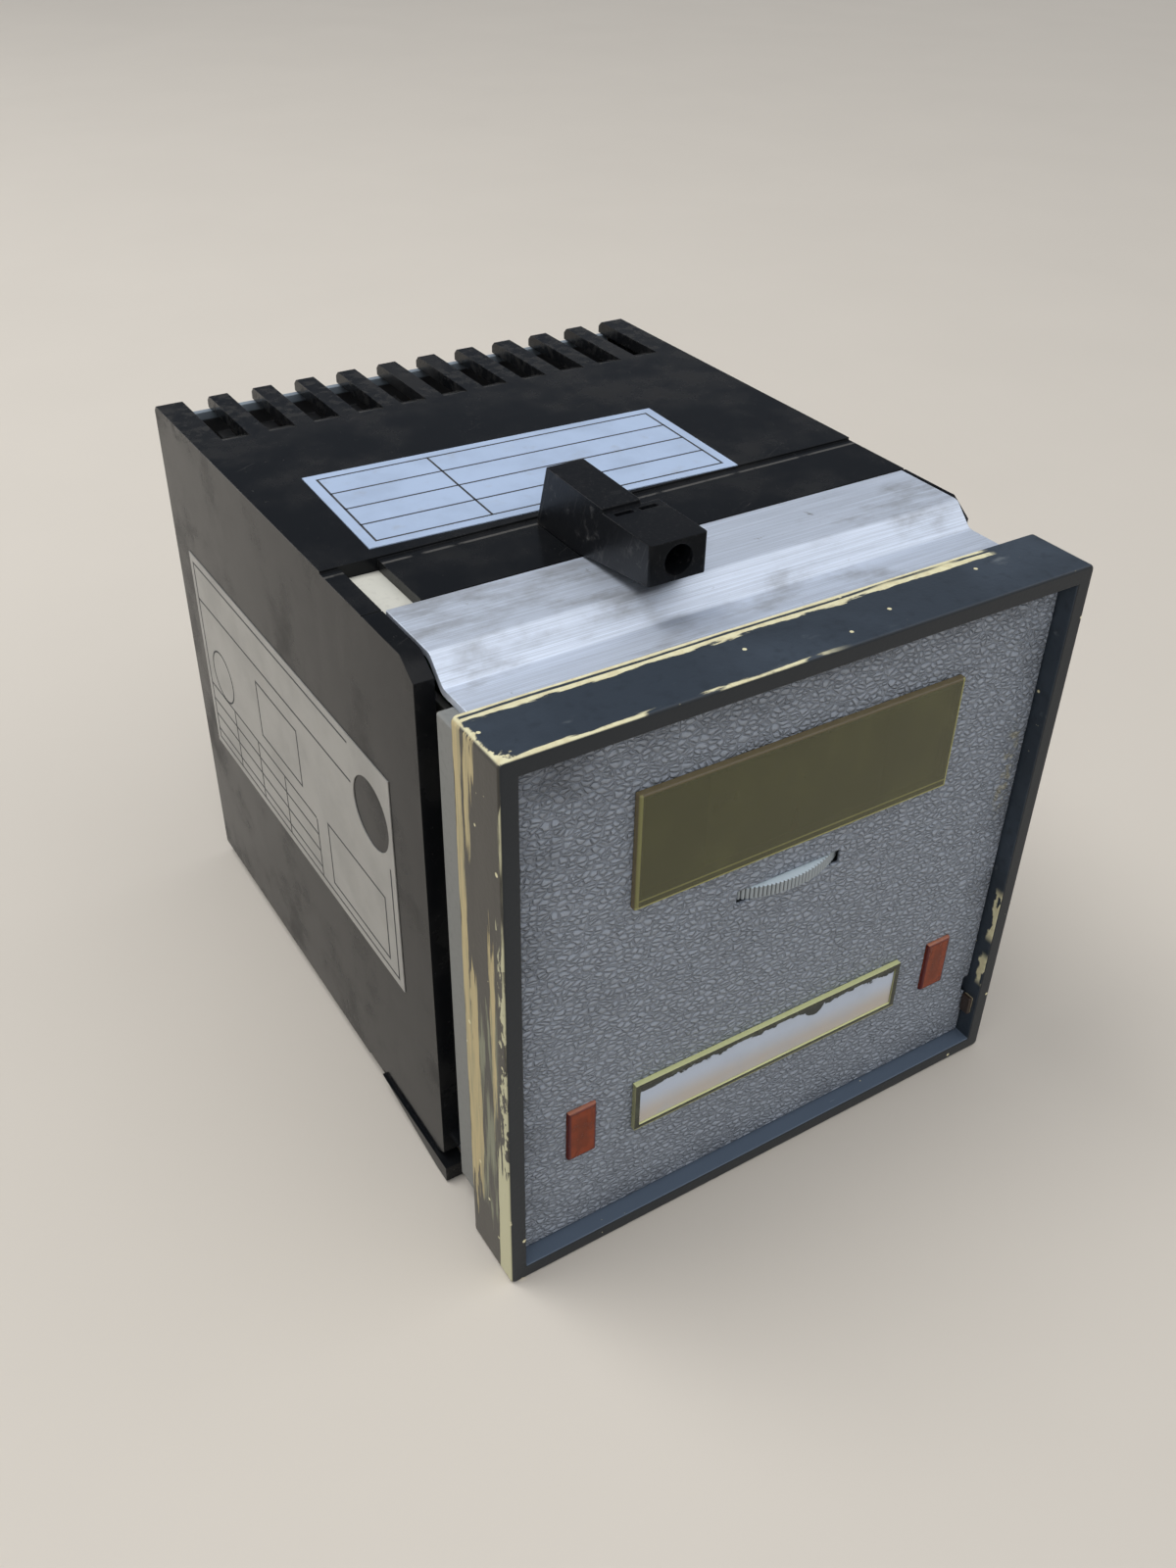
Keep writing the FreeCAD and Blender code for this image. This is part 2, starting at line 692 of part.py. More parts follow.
def make_lamp(side, sign):
    """Glow lamp behind an indicator, with its two leads soldered into the front board."""
    body = new_body(f"lamp_{side}")
    middle = indicator_place(sign)
    front = f"({PANEL_REAR} + panel_thick + slide_gap)"
    rear = f"({front} + lamp_length)"
    pad_disc(body, "XZ", front, "lamp_length", middle, "indicator_level", "lamp_radius")
    for step in ("-", "+"):
        pad_disc(body, "XZ", rear, f"{FRONT_BOARD} - {rear}", f"{middle} {step} lead_spread",
                 "indicator_level", "lead_radius")
    tip = worked_out(front)
    finish_edges(body, "Chamfer", "lamp_nose", lambda edge: lies_at(edge, 1, tip))


def make_badge():
    """Clear bar stuck on the panel, hollowed in front for a plain foil."""
    body = new_body("badge_bar")
    front = "(panel_recess - badge_thick)"
    pad(body, "XZ", front, "badge_thick", centred_points(
        "feature_shift", "badge_level", "badge_width", "badge_height"))
    cut(body, "XZ", front, "badge_pocket", centred_points(
        "feature_shift", "badge_level", "badge_width - 2 * badge_rim", "badge_height - 2 * badge_rim"))
    foil = new_body("badge_foil")
    shrink = "2 * (badge_rim + fit_gap)"
    pad(foil, "XZ", f"{front} + badge_pocket - foil_thick", "foil_thick", centred_points(
        "feature_shift", "badge_level", f"badge_width - {shrink}", f"badge_height - {shrink}"))


def make_catch():
    """Small retaining catch on the right inner wall of the bezel, in front of the panel's edge."""
    body = new_body("side_catch")
    pad(body, "XZ", "panel_recess - catch_depth - fit_gap", "catch_depth", centred_points(
        f"({BEZEL_HALF} - bezel_rim - catch_thick / 2)", "catch_level", "catch_thick", "catch_height"))


# ---------------------------------------------------------------- setting mechanism
def make_mask():
    """Dark plate behind the window with an opening for the scale drum, and a red index."""
    body = new_body("scale_mask")
    clear_height = "(window_height - 2 * window_lip)"
    pad(body, "XZ", PANEL_REAR, "mask_thick", centred_points(
        "feature_shift", WINDOW_LEVEL, "window_width", "window_height"))
    cut(body, "XZ", PANEL_REAR, "mask_thick", centred_points(
        "feature_shift", WINDOW_LEVEL, "mask_opening", clear_height))
    index = new_body("red_index")
    low = f"({WINDOW_LEVEL} - {clear_height} / 2)"
    pad(index, "XZ", PANEL_REAR, "index_thick", [
        ("feature_shift - index_width / 2", low),
        ("feature_shift + index_width / 2", low),
        ("feature_shift", f"{low} + index_height"),
    ])


def make_thumbwheel():
    """Setting wheel with a grooved rim, and a hub that carries the drum."""
    body = new_body("thumbwheel")
    pad_disc(body, "XY", "0", "wheel_thick", "0", "0", "wheel_radius")
    bottom = "(wheel_radius - wheel_groove_depth)"
    groove = cut(body, "XY", "0", "wheel_thick", [
        (bottom, "0"),
        ("wheel_radius + wheel_groove_depth", "-wheel_groove_width"),
        ("wheel_radius + wheel_groove_depth", "wheel_groove_width"),
    ])
    ring = body.newObject("PartDesign::PolarPattern", "thumbwheel_grooves")
    ring.Originals = [groove]
    ring.Axis = (origin_item(body, "Z_Axis"), [""])
    ring.Angle = 360
    ring.setExpression("Occurrences", bound("wheel_grooves"))
    body.Tip = ring
    doc.recompute()
    pad_disc(body, "XY", "0", "wheel_thick + drum_lift", "0", "0", "hub_radius")
    cut_disc(body, "XY", "0", "wheel_thick + drum_lift", "0", "0", "spindle_radius + fit_gap")
    body.setExpression("Placement.Base.x", bound("feature_shift"))
    body.setExpression("Placement.Base.y", bound(f"{AXLE_Y} - {SLEEVE_REAR} / 2"))
    body.setExpression("Placement.Base.z", bound(WHEEL_BASE))


def make_drum():
    """Scale drum: a cup turned in one piece, bored for the spindle."""
    body = new_body("scale_drum")
    axle = "feature_shift", AXLE_Y
    pad_disc(body, "XY", DRUM_BASE, "drum_height", *axle, "drum_radius")
    floor = f"({DRUM_BASE} + drum_wall)"
    cut_disc(body, "XY", floor, "drum_height - drum_wall", *axle, "drum_radius - drum_wall")
    pad_disc(body, "XY", floor, "drum_boss", *axle, "hub_radius")
    cut_disc(body, "XY", DRUM_BASE, "drum_height", *axle, "spindle_radius + fit_gap")


def make_spindle():
    """Spindle from the potentiometer up through the wheel and the drum."""
    body = new_body("setting_spindle")
    low = f"({BRACKET_BASE} - pot_height / 2)"
    high = f"({DRUM_BASE} + drum_wall + drum_boss + spindle_end)"
    pad_disc(body, "XY", low, f"{high} - {low}", "feature_shift", AXLE_Y, "spindle_radius")


def make_potentiometer():
    """Potentiometer hung under its bracket by a bushing and a nut."""
    body = new_body("potentiometer")
    axle = "feature_shift", AXLE_Y
    base = f"({BRACKET_BASE} - pot_height)"
    pad_disc(body, "XY", base, "pot_height", *axle, "pot_radius")
    pad_disc(body, "XY", BRACKET_BASE, f"{BUSHING_TOP} - {BRACKET_BASE}", *axle, "bushing_radius")
    bore_base = f"({BRACKET_BASE} - pot_height / 2 - fit_gap)"
    cut_disc(body, "XY", bore_base, f"{BUSHING_TOP} - {bore_base}", *axle, "spindle_radius + fit_gap")
    pad(body, "XY", f"{base} + pot_tag_thick", "pot_tag_thick", box_points(
        "feature_shift - pot_tag_width / 2", AXLE_Y, "feature_shift + pot_tag_width / 2",
        f"{AXLE_Y} + pot_radius + pot_tag_length"))
    nut = new_body("pot_nut")
    pad(nut, "XY", BRACKET_TOP, "nut_thick - fit_gap", hexagon_points(*axle, "nut_width"))
    cut_disc(nut, "XY", BRACKET_TOP, "nut_thick", *axle, "bushing_radius + fit_gap")


def make_bracket():
    """Folded bracket: a shelf for the potentiometer and a flange against the panel's back."""
    body = new_body("pot_bracket")
    left = "(feature_shift - bracket_width / 2)"
    right = "(feature_shift + bracket_width / 2)"
    flange = f"({BRACKET_BASE} - pot_height)"
    pad(body, "XZ", PANEL_REAR, "bracket_thick", box_points(left, flange, right, BRACKET_TOP))
    pad(body, "XY", BRACKET_BASE, "bracket_thick", box_points(
        left, PANEL_REAR, right, f"{AXLE_Y} + pot_radius + bracket_thick"))
    cut_disc(body, "XY", BRACKET_BASE, "bracket_thick", "feature_shift", AXLE_Y, "bushing_radius + fit_gap")


# ---------------------------------------------------------------- chassis
def make_tray():
    """Folded tray: a floor and two sides with vents, butted against the bezel."""
    body = new_body("chassis_tray")
    length = f"({TRAY_REAR} - {SEAT})"
    inner = f"({TRAY_HALF} - tray_thick)"
    pad(body, "XZ", SEAT, length, box_points(f"-{TRAY_HALF}", TRAY_FLOOR, TRAY_HALF, TRAY_TOP))
    cut(body, "XZ", SEAT, length, box_points(f"-{inner}", FLOOR_TOP, inner, TRAY_TOP))
    pitch = f"(({TRAY_REAR} - {BOARD_BACK}) / 2)"
    middle = f"(({BOARD_BASE} + {BOARD_TOP}) / 2)"
    vent = cut(body, "YZ", f"-{TRAY_HALF}", f"2 * {TRAY_HALF}", centred_points(
        f"({BOARD_BACK} + {pitch} / 2)", middle, f"{pitch} - vent_bridge", "vent_height"))
    in_row(body, vent, "Y", pitch, "2")


def make_front_board():
    """Board across the tray behind the setting mechanism."""
    body = new_body("front_board")
    half = f"({TRAY_HALF} - tray_thick - fit_gap)"
    top = f"({TRAY_TOP} - board_thick)"
    pad(body, "XZ", FRONT_BOARD, "board_thick", box_points(f"-{half}", FLOOR_TOP, half, top))


def make_side_board(side, sign):
    """Upright circuit board whose rear tongue plugs into a connector, and its chips."""
    body = new_body(f"circuit_board_{side}")
    left = BOARD_X if sign == "+" else f"(-{BOARD_X} - board_thick)"
    step = f"({CONNECTOR_FRONT} - slide_gap)"
    tongue = "(connector_inset + tongue_inset)"
    pad(body, "XZ", BOARD_BACK, f"{step} - {BOARD_BACK}",
        box_points(left, BOARD_BASE, f"{left} + board_thick", BOARD_TOP))
    pad(body, "XZ", step, f"{TONGUE_REAR} - {step}",
        box_points(left, f"{BOARD_BASE} + {tongue}", f"{left} + board_thick", f"{BOARD_TOP} - {tongue}"))
    chips = new_body(f"chips_{side}")
    inner = f"({BOARD_X} - chip_thick)" if sign == "+" else f"(-{BOARD_X})"
    low = f"({BOARD_BASE} + chip_width)"
    chip = pad(chips, "XZ", f"{BOARD_BACK} + chip_width", "chip_length",
               box_points(inner, low, f"{inner} + chip_thick", f"{low} + chip_width"))
    in_row(chips, chip, "Z", f"({BOARD_TOP} - {BOARD_BASE} - 2 * chip_width) / 4", "4")


def make_spacers():
    """Hexagonal spacers between the tray's sides and the circuit boards."""
    body = new_body("board_spacers")
    places = f"({BOARD_BACK} + spacer_inset)", f"({CONNECTOR_FRONT} - spacer_inset)"
    levels = f"({BOARD_BASE} + spacer_inset)", f"({BOARD_TOP} - spacer_inset)"
    for left in (f"-({BOARD_X} + board_thick + spacer_length)", f"({BOARD_X} + board_thick)"):
        for place in places:
            for level in levels:
                pad(body, "YZ", left, "spacer_length", hexagon_points(place, level, "spacer_width"))


def make_transformer():
    """Mains transformer: laminated core with two windows, and a coil on its middle leg."""
    core = new_body("transformer_core")
    half = "(core_width / 2)"
    top = f"({FLOOR_TOP} + core_height)"
    pad(core, "XZ", CORE_FRONT, "core_depth", box_points(f"-{half}", FLOOR_TOP, half, top))
    for left, right in ((f"(core_leg - {half})", "-core_leg"), ("core_leg", f"({half} - core_leg)")):
        cut(core, "XZ", CORE_FRONT, "core_depth",
            box_points(left, f"{FLOOR_TOP} + core_leg", right, f"{top} - core_leg"))
    coil = new_body("transformer_coil")
    inset = "(core_leg + coil_gap)"
    low = f"({FLOOR_TOP} + {inset})"
    high = f"({top} - {inset})"
    depth = "(core_depth + 2 * coil_overhang)"
    pad(coil, "XZ", COIL_FRONT, depth, box_points(f"{inset} - {half}", low, f"{half} - {inset}", high))
    cut(coil, "XZ", f"{CORE_FRONT} - coil_gap", "core_depth + 2 * coil_gap",
        box_points(f"-{inset}", low, inset, high))


def make_floor_parts():
    """Smoothing capacitor and relay standing on the tray's floor."""
    can = new_body("smoothing_capacitor")
    reach = "(part_gap + capacitor_radius)"
    pad_disc(can, "XY", FLOOR_TOP, "capacitor_height", f"chip_thick + {reach} - {BOARD_X}",
             f"{BOARD_BACK} + {reach}", "capacitor_radius")
    relay = new_body("output_relay")
    left = "(feature_shift + part_gap)"
    pad(relay, "XY", FLOOR_TOP, "relay_height", box_points(
        left, f"{BOARD_BACK} + part_gap", f"{left} + relay_width", f"{COIL_FRONT} - part_gap"))


# ---------------------------------------------------------------- inside of the sleeve
def make_guide(side, sign):
    """Card guide under the deck: a side of the tray runs in its groove."""
    body = new_body(f"card_guide_{side}")
    low = f"({INNER_TOP} - guide_height)"
    left = f"(-{INNER_X})" if sign == "-" else f"({INNER_X} - guide_width)"
    length = f"({REAR_PANEL} - {GUIDE_FRONT})"
    pad(body, "XZ", GUIDE_FRONT, length, box_points(left, low, f"{left} + guide_width", INNER_TOP))
    middle = f"({sign}({TRAY_HALF} - tray_thick / 2))"
    cut(body, "XZ", GUIDE_FRONT, length, centred_points(
        middle, f"({low} + guide_groove / 2)", "tray_thick + 2 * guide_slack", "guide_groove"))


def make_skid(side, sign):
    """Skid on the floor of the sleeve that the tray slides on."""
    body = new_body(f"skid_{side}")
    left = f"(-{TRAY_HALF})" if sign == "-" else f"({TRAY_HALF} - skid_width)"
    pad(body, "XZ", GUIDE_FRONT, f"{REAR_PANEL} - {GUIDE_FRONT}",
        box_points(left, INNER_BASE, f"{left} + skid_width", f"{INNER_BASE} + skid_height"))


def make_rear_panel():
    """Inner rear panel that carries the connectors and the terminal blocks."""
    body = new_body("rear_panel")
    half = f"({INNER_X} - rear_gap)"
    pad(body, "XZ", REAR_PANEL, "rear_panel_thick", box_points(
        f"-{half}", f"{INNER_BASE} + rear_gap", half, f"{INNER_TOP} - rear_gap"))


def make_connector(side, sign):
    """Edge connector on the rear panel, with a mouth for a circuit board's tongue."""
    body = new_body(f"edge_connector_{side}")
    middle = f"({sign}({BOARD_X} + board_thick / 2))"
    level = f"(({BOARD_BASE} + {BOARD_TOP}) / 2)"
    length = f"({BOARD_TOP} - {BOARD_BASE} - 2 * connector_inset)"
    pad(body, "XZ", CONNECTOR_FRONT, "connector_depth",
        centred_points(middle, level, "connector_width", length))
    cut(body, "XZ", CONNECTOR_FRONT, f"{TONGUE_REAR} - {CONNECTOR_FRONT} + slide_gap", centred_points(
        middle, level, "board_thick + 2 * slide_gap", f"{length} - 2 * connector_end"))


def make_terminals(side, edge, inward, outward):
    """Terminal block on the rear panel, with a brass terminal and a screw in each of its bays."""
    block = new_body(f"terminal_block_{side}")
    half = f"(comb_pitch * {COMB_COUNT} / 2 - slide_gap)"
    front = REAR_PANEL_BACK
    depth = f"({BLOCK_REAR} - {front})"
    floor = f"({edge} {inward} (block_height - block_wall))"
    pad(block, "XZ", front, depth, upright(f"-{half}", edge, half, f"{edge} {inward} block_height", inward))
    cut(block, "XZ", front, f"{depth} - block_wall", upright(f"-{half}", edge, half, floor, inward))
    first_rib = f"(comb_pitch / 2 + {COMB_LEFT})"
    rib = pad(block, "XZ", front, f"{depth} - block_wall", upright(
        f"{first_rib} - block_rib / 2", f"{edge} {inward} block_rib_drop", f"{first_rib} + block_rib / 2",
        floor, inward))
    in_row(block, rib, "X", "comb_pitch", f"({COMB_COUNT} - 1)")
    level = f"({floor} {outward} terminal_height / 2)"
    hole = cut(block, "XZ", f"{BLOCK_REAR} - block_wall", "block_wall", centred_points(
        COMB_LEFT, level, "driver_hole", "driver_hole"))
    in_row(block, hole, "X", "comb_pitch", COMB_COUNT)
    brass = new_body(f"terminals_{side}")
    one = pad(brass, "XZ", front, "terminal_depth", centred_points(
        COMB_LEFT, level, "terminal_width", "terminal_height"))
    in_row(brass, one, "X", "comb_pitch", COMB_COUNT)
    screws = new_body(f"terminal_screws_{side}")
    head = pad(screws, "XZ", f"{front} + terminal_depth", "screw_head", hexagon_points(
        COMB_LEFT, level, "screw_width"))
    in_row(screws, head, "X", "comb_pitch", COMB_COUNT)


def upright(left, first, right, second, inward):
    """Box corners between two heights, of which the second lies inward of the first."""
    low, high = (second, first) if inward == "-" else (first, second)
    return box_points(left, low, right, high)


# ---------------------------------------------------------------- mounting clamp and labels
def make_clamp():
    """Moulded clamp: a leaning tower on the deck, and a block with a bore over the band."""
    body = new_body("mounting_clamp")
    seat = f"({DECK_TOP} + fit_gap)"
    nose = f"({seat} + clamp_nose_lift)"
    crown = f"({seat} + clamp_tower_height)"
    roof = f"({seat} + clamp_block_height)"
    front = f"({DECK_FRONT} - clamp_overhang)"
    step = f"({front} + clamp_block_run)"
    heel = f"({DECK_FRONT} + clamp_heel)"
    rear = f"({DECK_FRONT} + clamp_foot)"
    pad(body, "YZ", "clamp_left", "clamp_tower_width", [
        (heel, seat),
        (rear, seat),
        (f"{rear} - clamp_lean", crown),
        (step, f"{crown} - clamp_crown_drop"),
        (step, f"{seat} + clamp_nose_lift / 2"),
    ])
    pad(body, "YZ", "clamp_left", "clamp_width", [
        (front, nose),
        (heel, f"{seat} + band_gap"),
        (heel, nose),
        (step, roof),
        (front, roof),
    ])
    across = "(clamp_left + clamp_width / 2)"
    face = worked_out(front)
    left = worked_out("clamp_left")
    finish_edges(body, "Fillet", "clamp_edge", lambda edge: along(edge, 2) and lies_at(edge, 1, face))
    cut_disc(body, "XZ", front, "clamp_bore_depth", across, f"{seat} + clamp_bore_lift", "clamp_bore")
    for side in ("-", "+"):
        middle = f"({across} {side} (slit_length + slit_bridge) / 2)"
        cut(body, "XY", f"{roof} - slit_depth", "slit_depth", centred_points(
            middle, f"({step} - slit_setback)", "slit_length", "slit_width"))


def make_hook():
    """Hook below the clamp, through the hole in the deck and forward under the deck's edge."""
    body = new_body("clamp_hook")
    middle = "(clamp_left + clamp_tower_width / 2)"
    left = f"{middle} - hook_width / 2"
    right = f"{middle} + hook_width / 2"
    under = f"({INNER_TOP} - hook_gap)"
    rear = f"({DECK_FRONT} + hook_place)"
    front = f"({rear} - hook_length)"
    pad(body, "XZ", front, "hook_length", box_points(left, under, right, f"{DECK_TOP} + fit_gap"))
    pad(body, "XZ", f"{front} - hook_reach", "hook_length + hook_reach",
        box_points(left, f"{under} - hook_thick", right, under))


def make_labels():
    """Plain foil labels: one on the deck, a little askew, and one with a hole on the left side."""
    top = new_body("top_label")
    turn = "top_label_turn * 1 deg"
    corners = []
    for across, deep in (("-", "-"), ("+", "-"), ("+", "+"), ("-", "+")):
        step_x = f"({across}top_label_width / 2)"
        step_y = f"({deep}top_label_depth / 2)"
        corners.append((
            f"top_label_shift + {step_x} * cos({turn}) + {step_y} * sin({turn})",
            f"{DECK_FRONT} + top_label_setback - {step_x} * sin({turn}) + {step_y} * cos({turn})",
        ))
    pad(top, "XY", SLEEVE_TOP, "label_thick", corners)
    side = new_body("side_label")
    back = f"(-{SLEEVE_HALF} - label_thick)"
    front = f"({SLEEVE_FRONT} + side_label_front)"
    pad(side, "YZ", back, "label_thick", box_points(
        front, "side_label_level - side_label_height / 2",
        f"{SLEEVE_REAR} - side_label_rear", "side_label_level + side_label_height / 2"))
    cut_disc(side, "YZ", back, "label_thick", f"{front} + side_label_hole_setback",
             "side_label_level + side_label_hole_lift", "side_label_hole")


# ---------------------------------------------------------------- build, test and write
def build():
    make_bezel()
    make_collar()
    make_upper_band()
    make_lower_band()
    make_sleeve()
    make_panel()
    make_window()
    make_mask()
    for side, sign in (("left", "-"), ("right", "+")):
        make_indicator(side, sign)
        make_lamp(side, sign)
        make_side_board(side, sign)
        make_connector(side, sign)
        make_guide(side, sign)
        make_skid(side, sign)
    make_badge()
    make_catch()
    make_thumbwheel()
    make_drum()
    make_spindle()
    make_potentiometer()
    make_bracket()
    make_tray()
    make_front_board()
    make_spacers()
    make_transformer()
    make_floor_parts()
    make_rear_panel()
    make_terminals("upper", f"({INNER_TOP} - rear_gap)", "-", "+")
    make_terminals("lower", f"({INNER_BASE} + rear_gap)", "+", "-")
    make_clamp()
    make_hook()
    make_labels()


def check():
    """Stops on any object that failed to recompute and any sub-part that isn't a sound solid."""
    doc.recompute()
    faults = []
    for item in doc.Objects:
        if "Invalid" in item.State or "Error" in item.State:
            faults.append(f"{item.Name} is in state {item.State}")
    for node in nodes:
        if node.Shape.isNull() or not node.Shape.isValid() or not node.Shape.Solids:
            faults.append(f"{node.Label} has no sound solid")
    if faults:
        raise RuntimeError("; ".join(faults))


def write():
    os.makedirs("parts", exist_ok=True)
    for node in nodes:
        node.Shape.exportStep(f"parts/{node.Label}.step")


build()
check()
write()
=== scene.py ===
import math

import bmesh
import bpy
from bpy.props import FloatProperty, FloatVectorProperty, IntProperty, PointerProperty
from mathutils import Euler, Matrix, Vector


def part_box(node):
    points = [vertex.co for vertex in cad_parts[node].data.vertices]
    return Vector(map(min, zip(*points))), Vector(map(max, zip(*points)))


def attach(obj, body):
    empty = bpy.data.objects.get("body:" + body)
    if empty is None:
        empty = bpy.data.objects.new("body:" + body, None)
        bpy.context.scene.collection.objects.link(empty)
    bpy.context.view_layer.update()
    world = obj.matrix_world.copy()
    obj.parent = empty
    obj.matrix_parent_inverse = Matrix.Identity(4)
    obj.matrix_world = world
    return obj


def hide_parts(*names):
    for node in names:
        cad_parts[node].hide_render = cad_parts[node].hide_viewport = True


bl_info = {
    "name": "Temperature controller",
    "version": (1, 0, 0),
    "blender": (4, 5, 0),
    "location": "View3D > Sidebar > Controller",
    "description": "Finishes and fine pieces of a panel temperature controller on its packed frame",
    "category": "Object",
}

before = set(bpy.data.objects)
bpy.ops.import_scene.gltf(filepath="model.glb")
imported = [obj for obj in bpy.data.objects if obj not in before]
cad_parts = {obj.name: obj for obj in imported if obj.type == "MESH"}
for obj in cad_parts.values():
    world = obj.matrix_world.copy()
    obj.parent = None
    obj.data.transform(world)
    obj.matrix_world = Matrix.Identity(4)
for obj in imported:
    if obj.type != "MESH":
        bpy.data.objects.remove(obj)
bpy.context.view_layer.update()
MM = 0.001
MERGE_DISTANCE = 0.000002
FLAT_ANGLE = math.radians(0.8)  # faces that meet at less than this are made one

# rounding of the edges that no setting gives
PANEL_EDGE, CATCH_EDGE, LAMP_EDGE, MASK_EDGE, INDEX_EDGE = 0.00015, 0.0002, 0.0002, 0.0001, 0.00005
FOIL_EDGE, BOARD_EDGE, CAN_EDGE, RELAY_EDGE = 0.00004, 0.00008, 0.0008, 0.0006

# print on the scale drum: marks, how deep and proud it stands, and its height from the drum's middle
LONG_MARK, MIDDLE_MARK, SHORT_MARK, MARK_WIDTH = 0.0042, 0.0030, 0.0019, 0.00024
PRINT_SUNK, PRINT_PROUD = 0.00002, 0.00001
MARK_LEVEL, FIGURE_LEVEL = 0.0012, -0.0035

BRASS = (0.6, 0.42, 0.17)
ACRYLIC_IOR = 1.49
TERMINAL_PITCH = 8 * MM
SCREW_TURN = 2.399  # each screw's slot is turned by this much more than its neighbour's, in radians
TOP_LABEL_WIDTH, TOP_LABEL_DEPTH = 62.4 * MM, 26.8 * MM
TOP_LABEL_INSET = 1.6 * MM

# stage
SKY_BRIGHTEST = (0.12, -0.62, 0.77)
CAMERA_PLACE = (-0.109409, -0.175726, 0.187877)
CAMERA_TURN = (54.0047, -0.8876, -31.9428)
CAMERA_LENS, CAMERA_SENSOR = 32.785, 36.0
FLOOR_REACH = 3.0
KEY_PLACE, KEY_TARGET, KEY_WIDTH = (-0.35, 0.25, 1.0), (0.0, 0.0, 0.05), 0.55
BACK_PLACE, BACK_TARGET, BACK_WIDTH = (-0.7, 1.1, 0.3), (0.0, 0.0, 0.04), 0.6


# ---------------------------------------------------------------- settings
def size(name, description, default):
    return FloatProperty(name=name, description=description, default=default, unit="LENGTH", precision=5)


def share(name, description, default):
    return FloatProperty(name=name, description=description, default=default, min=0.0, max=1.0,
                         subtype="FACTOR")


def colour(name, description, default):
    return FloatVectorProperty(name=name, description=description, default=default, min=0.0, max=1.0,
                               subtype="COLOR")


def power(name, description, default):
    return FloatProperty(name=name, description=description, default=default, unit="POWER")


class BezelSettings(bpy.types.PropertyGroup):
    edge: size("Edge", "Rounding of the bezel's edges", 0.0004)
    paint: colour("Paint", "Slate paint of the bezel", (0.034, 0.044, 0.058))
    base: colour("Base", "Cream base that shows where the paint is gone", (0.74, 0.70, 0.46))
    rubbed: colour("Rubbed", "Tan of the base where it has been rubbed", (0.52, 0.43, 0.24))
    # Painted reflection: this blue-grey stands for the sky mirrored in the ledge's paint.
    ledge: colour("Ledge", "Blue-grey of the rubbed ledge below the panel", (0.095, 0.125, 0.17))
    smear: colour("Smear", "Grey-green of the smears on the left side", (0.31, 0.32, 0.23))
    worn: colour("Worn", "Olive brown of the worn left side", (0.044, 0.041, 0.035))
    wear: share("Wear", "How much of the paint has flaked from the edges", 0.5)
    collar: colour("Collar", "Grey of the collar behind the bezel", (0.20, 0.205, 0.195))


class PanelSettings(bpy.types.PropertyGroup):
    grain: size("Grain", "Size of one pebble of the leather grain", 0.00105)
    grain_depth: size("Grain depth", "Depth of the creases of the grain", 0.00042)
    skin: colour("Skin", "Grey of the grained front panel", (0.300, 0.335, 0.395))
    stain: colour("Stain", "Yellowed stain by the right rim", (0.42, 0.38, 0.22))
    catch: colour("Catch", "Dark brown of the retaining catch", (0.035, 0.022, 0.016))
    catch_tip: colour("Catch tip", "Cream of the catch's worn tip", (0.72, 0.62, 0.42))


class WindowSettings(bpy.types.PropertyGroup):
    edge: size("Edge", "Bevel of the window's front edges", 0.00012)
    tint: colour("Tint", "Olive tint of the window", (0.085, 0.085, 0.026))
    # Painted highlight: this colour and the rim's width make the bright lines of gathered light along the
    # window's cut edges.
    edge_highlight: colour("Edge glow", "Yellow-green that the cut edges gather", (0.34, 0.33, 0.12))
    side: colour("Side", "Brownish side faces of the window", (0.17, 0.135, 0.07))
    rim: size("Rim", "Width of the bright line along the lower and right edges", 0.0006)
    haze: share("Haze", "Share of the light that the window scatters itself", 0.6)
    mask: colour("Mask", "Dark mask behind the window", (0.02, 0.019, 0.012))
    index: colour("Index", "Red of the index", (0.62, 0.035, 0.02))


class WheelSettings(bpy.types.PropertyGroup):
    edge: size("Edge", "Bevel of the drum's and spindle's edges", 0.0003)
    moulding: colour("Moulding", "Pale grey of the wheel and drum", (0.52, 0.58, 0.62))
    ink: colour("Ink", "Dark ink of the scale", (0.03, 0.03, 0.03))
    figure: size("Figure height", "Height of the figures on the scale", 0.0036)
    marks: IntProperty(name="Marks", description="Number of fine marks round the drum", default=100, min=10)


class LensSettings(bpy.types.PropertyGroup):
    edge: size("Edge", "Bevel of the lens edges", 0.00025)
    flange: size("Flange", "Width of the hidden flange round each lens", 0.0005)
    orange: colour("Orange", "Translucent orange of the indicator lenses", (0.27, 0.042, 0.007))
    rim: colour("Rim", "Deep red of the lens rim", (0.11, 0.014, 0.014))


class BadgeSettings(bpy.types.PropertyGroup):
    edge: size("Edge", "Bevel of the bar's edges", 0.00012)
    bar: colour("Bar", "Yellow-green of the clear bar's sides", (0.30, 0.30, 0.16))
    # Painted highlight: the top side's paler colour stands for light gathered in the clear bar.
    bar_top_highlight: colour("Bar top", "Pale yellow-green of the bar's top side", (0.68, 0.70, 0.36))
    line: colour("Line", "Dark line round the bar's front", (0.030, 0.034, 0.022))
    # Painted reflection: the cool upper silver stands for the sky and the warm lower silver for the floor,
    # mirrored in the foil.
    foil: colour("Foil", "Cool silver of the plain foil's upper part", (0.54, 0.61, 0.73))
    foil_floor_reflection: colour("Foil below", "Warm silver of the foil's lower part", (0.55, 0.50, 0.45))
    backing: colour("Backing", "Dark backing where the foil has flaked", (0.045, 0.05, 0.045))
    chip_place: share("Chip place", "Place of the dark chip along the foil", 0.665)


class SleeveSettings(bpy.types.PropertyGroup):
    edge: size("Edge", "Rounding of the sleeve's edges", 0.00025)
    moulding: colour("Moulding", "Black of the sleeve", (0.0065, 0.0072, 0.0085))
    # This grey also paints the highlight along the deck's step.
    dust: colour("Dust", "Grey of the dust and scuffs", (0.20, 0.19, 0.175))
    wear: share("Wear", "How scuffed and dusty the sleeve is", 0.5)
    step_place: size("Step place", "Distance of the deck's step from the sleeve's front", 0.0284)


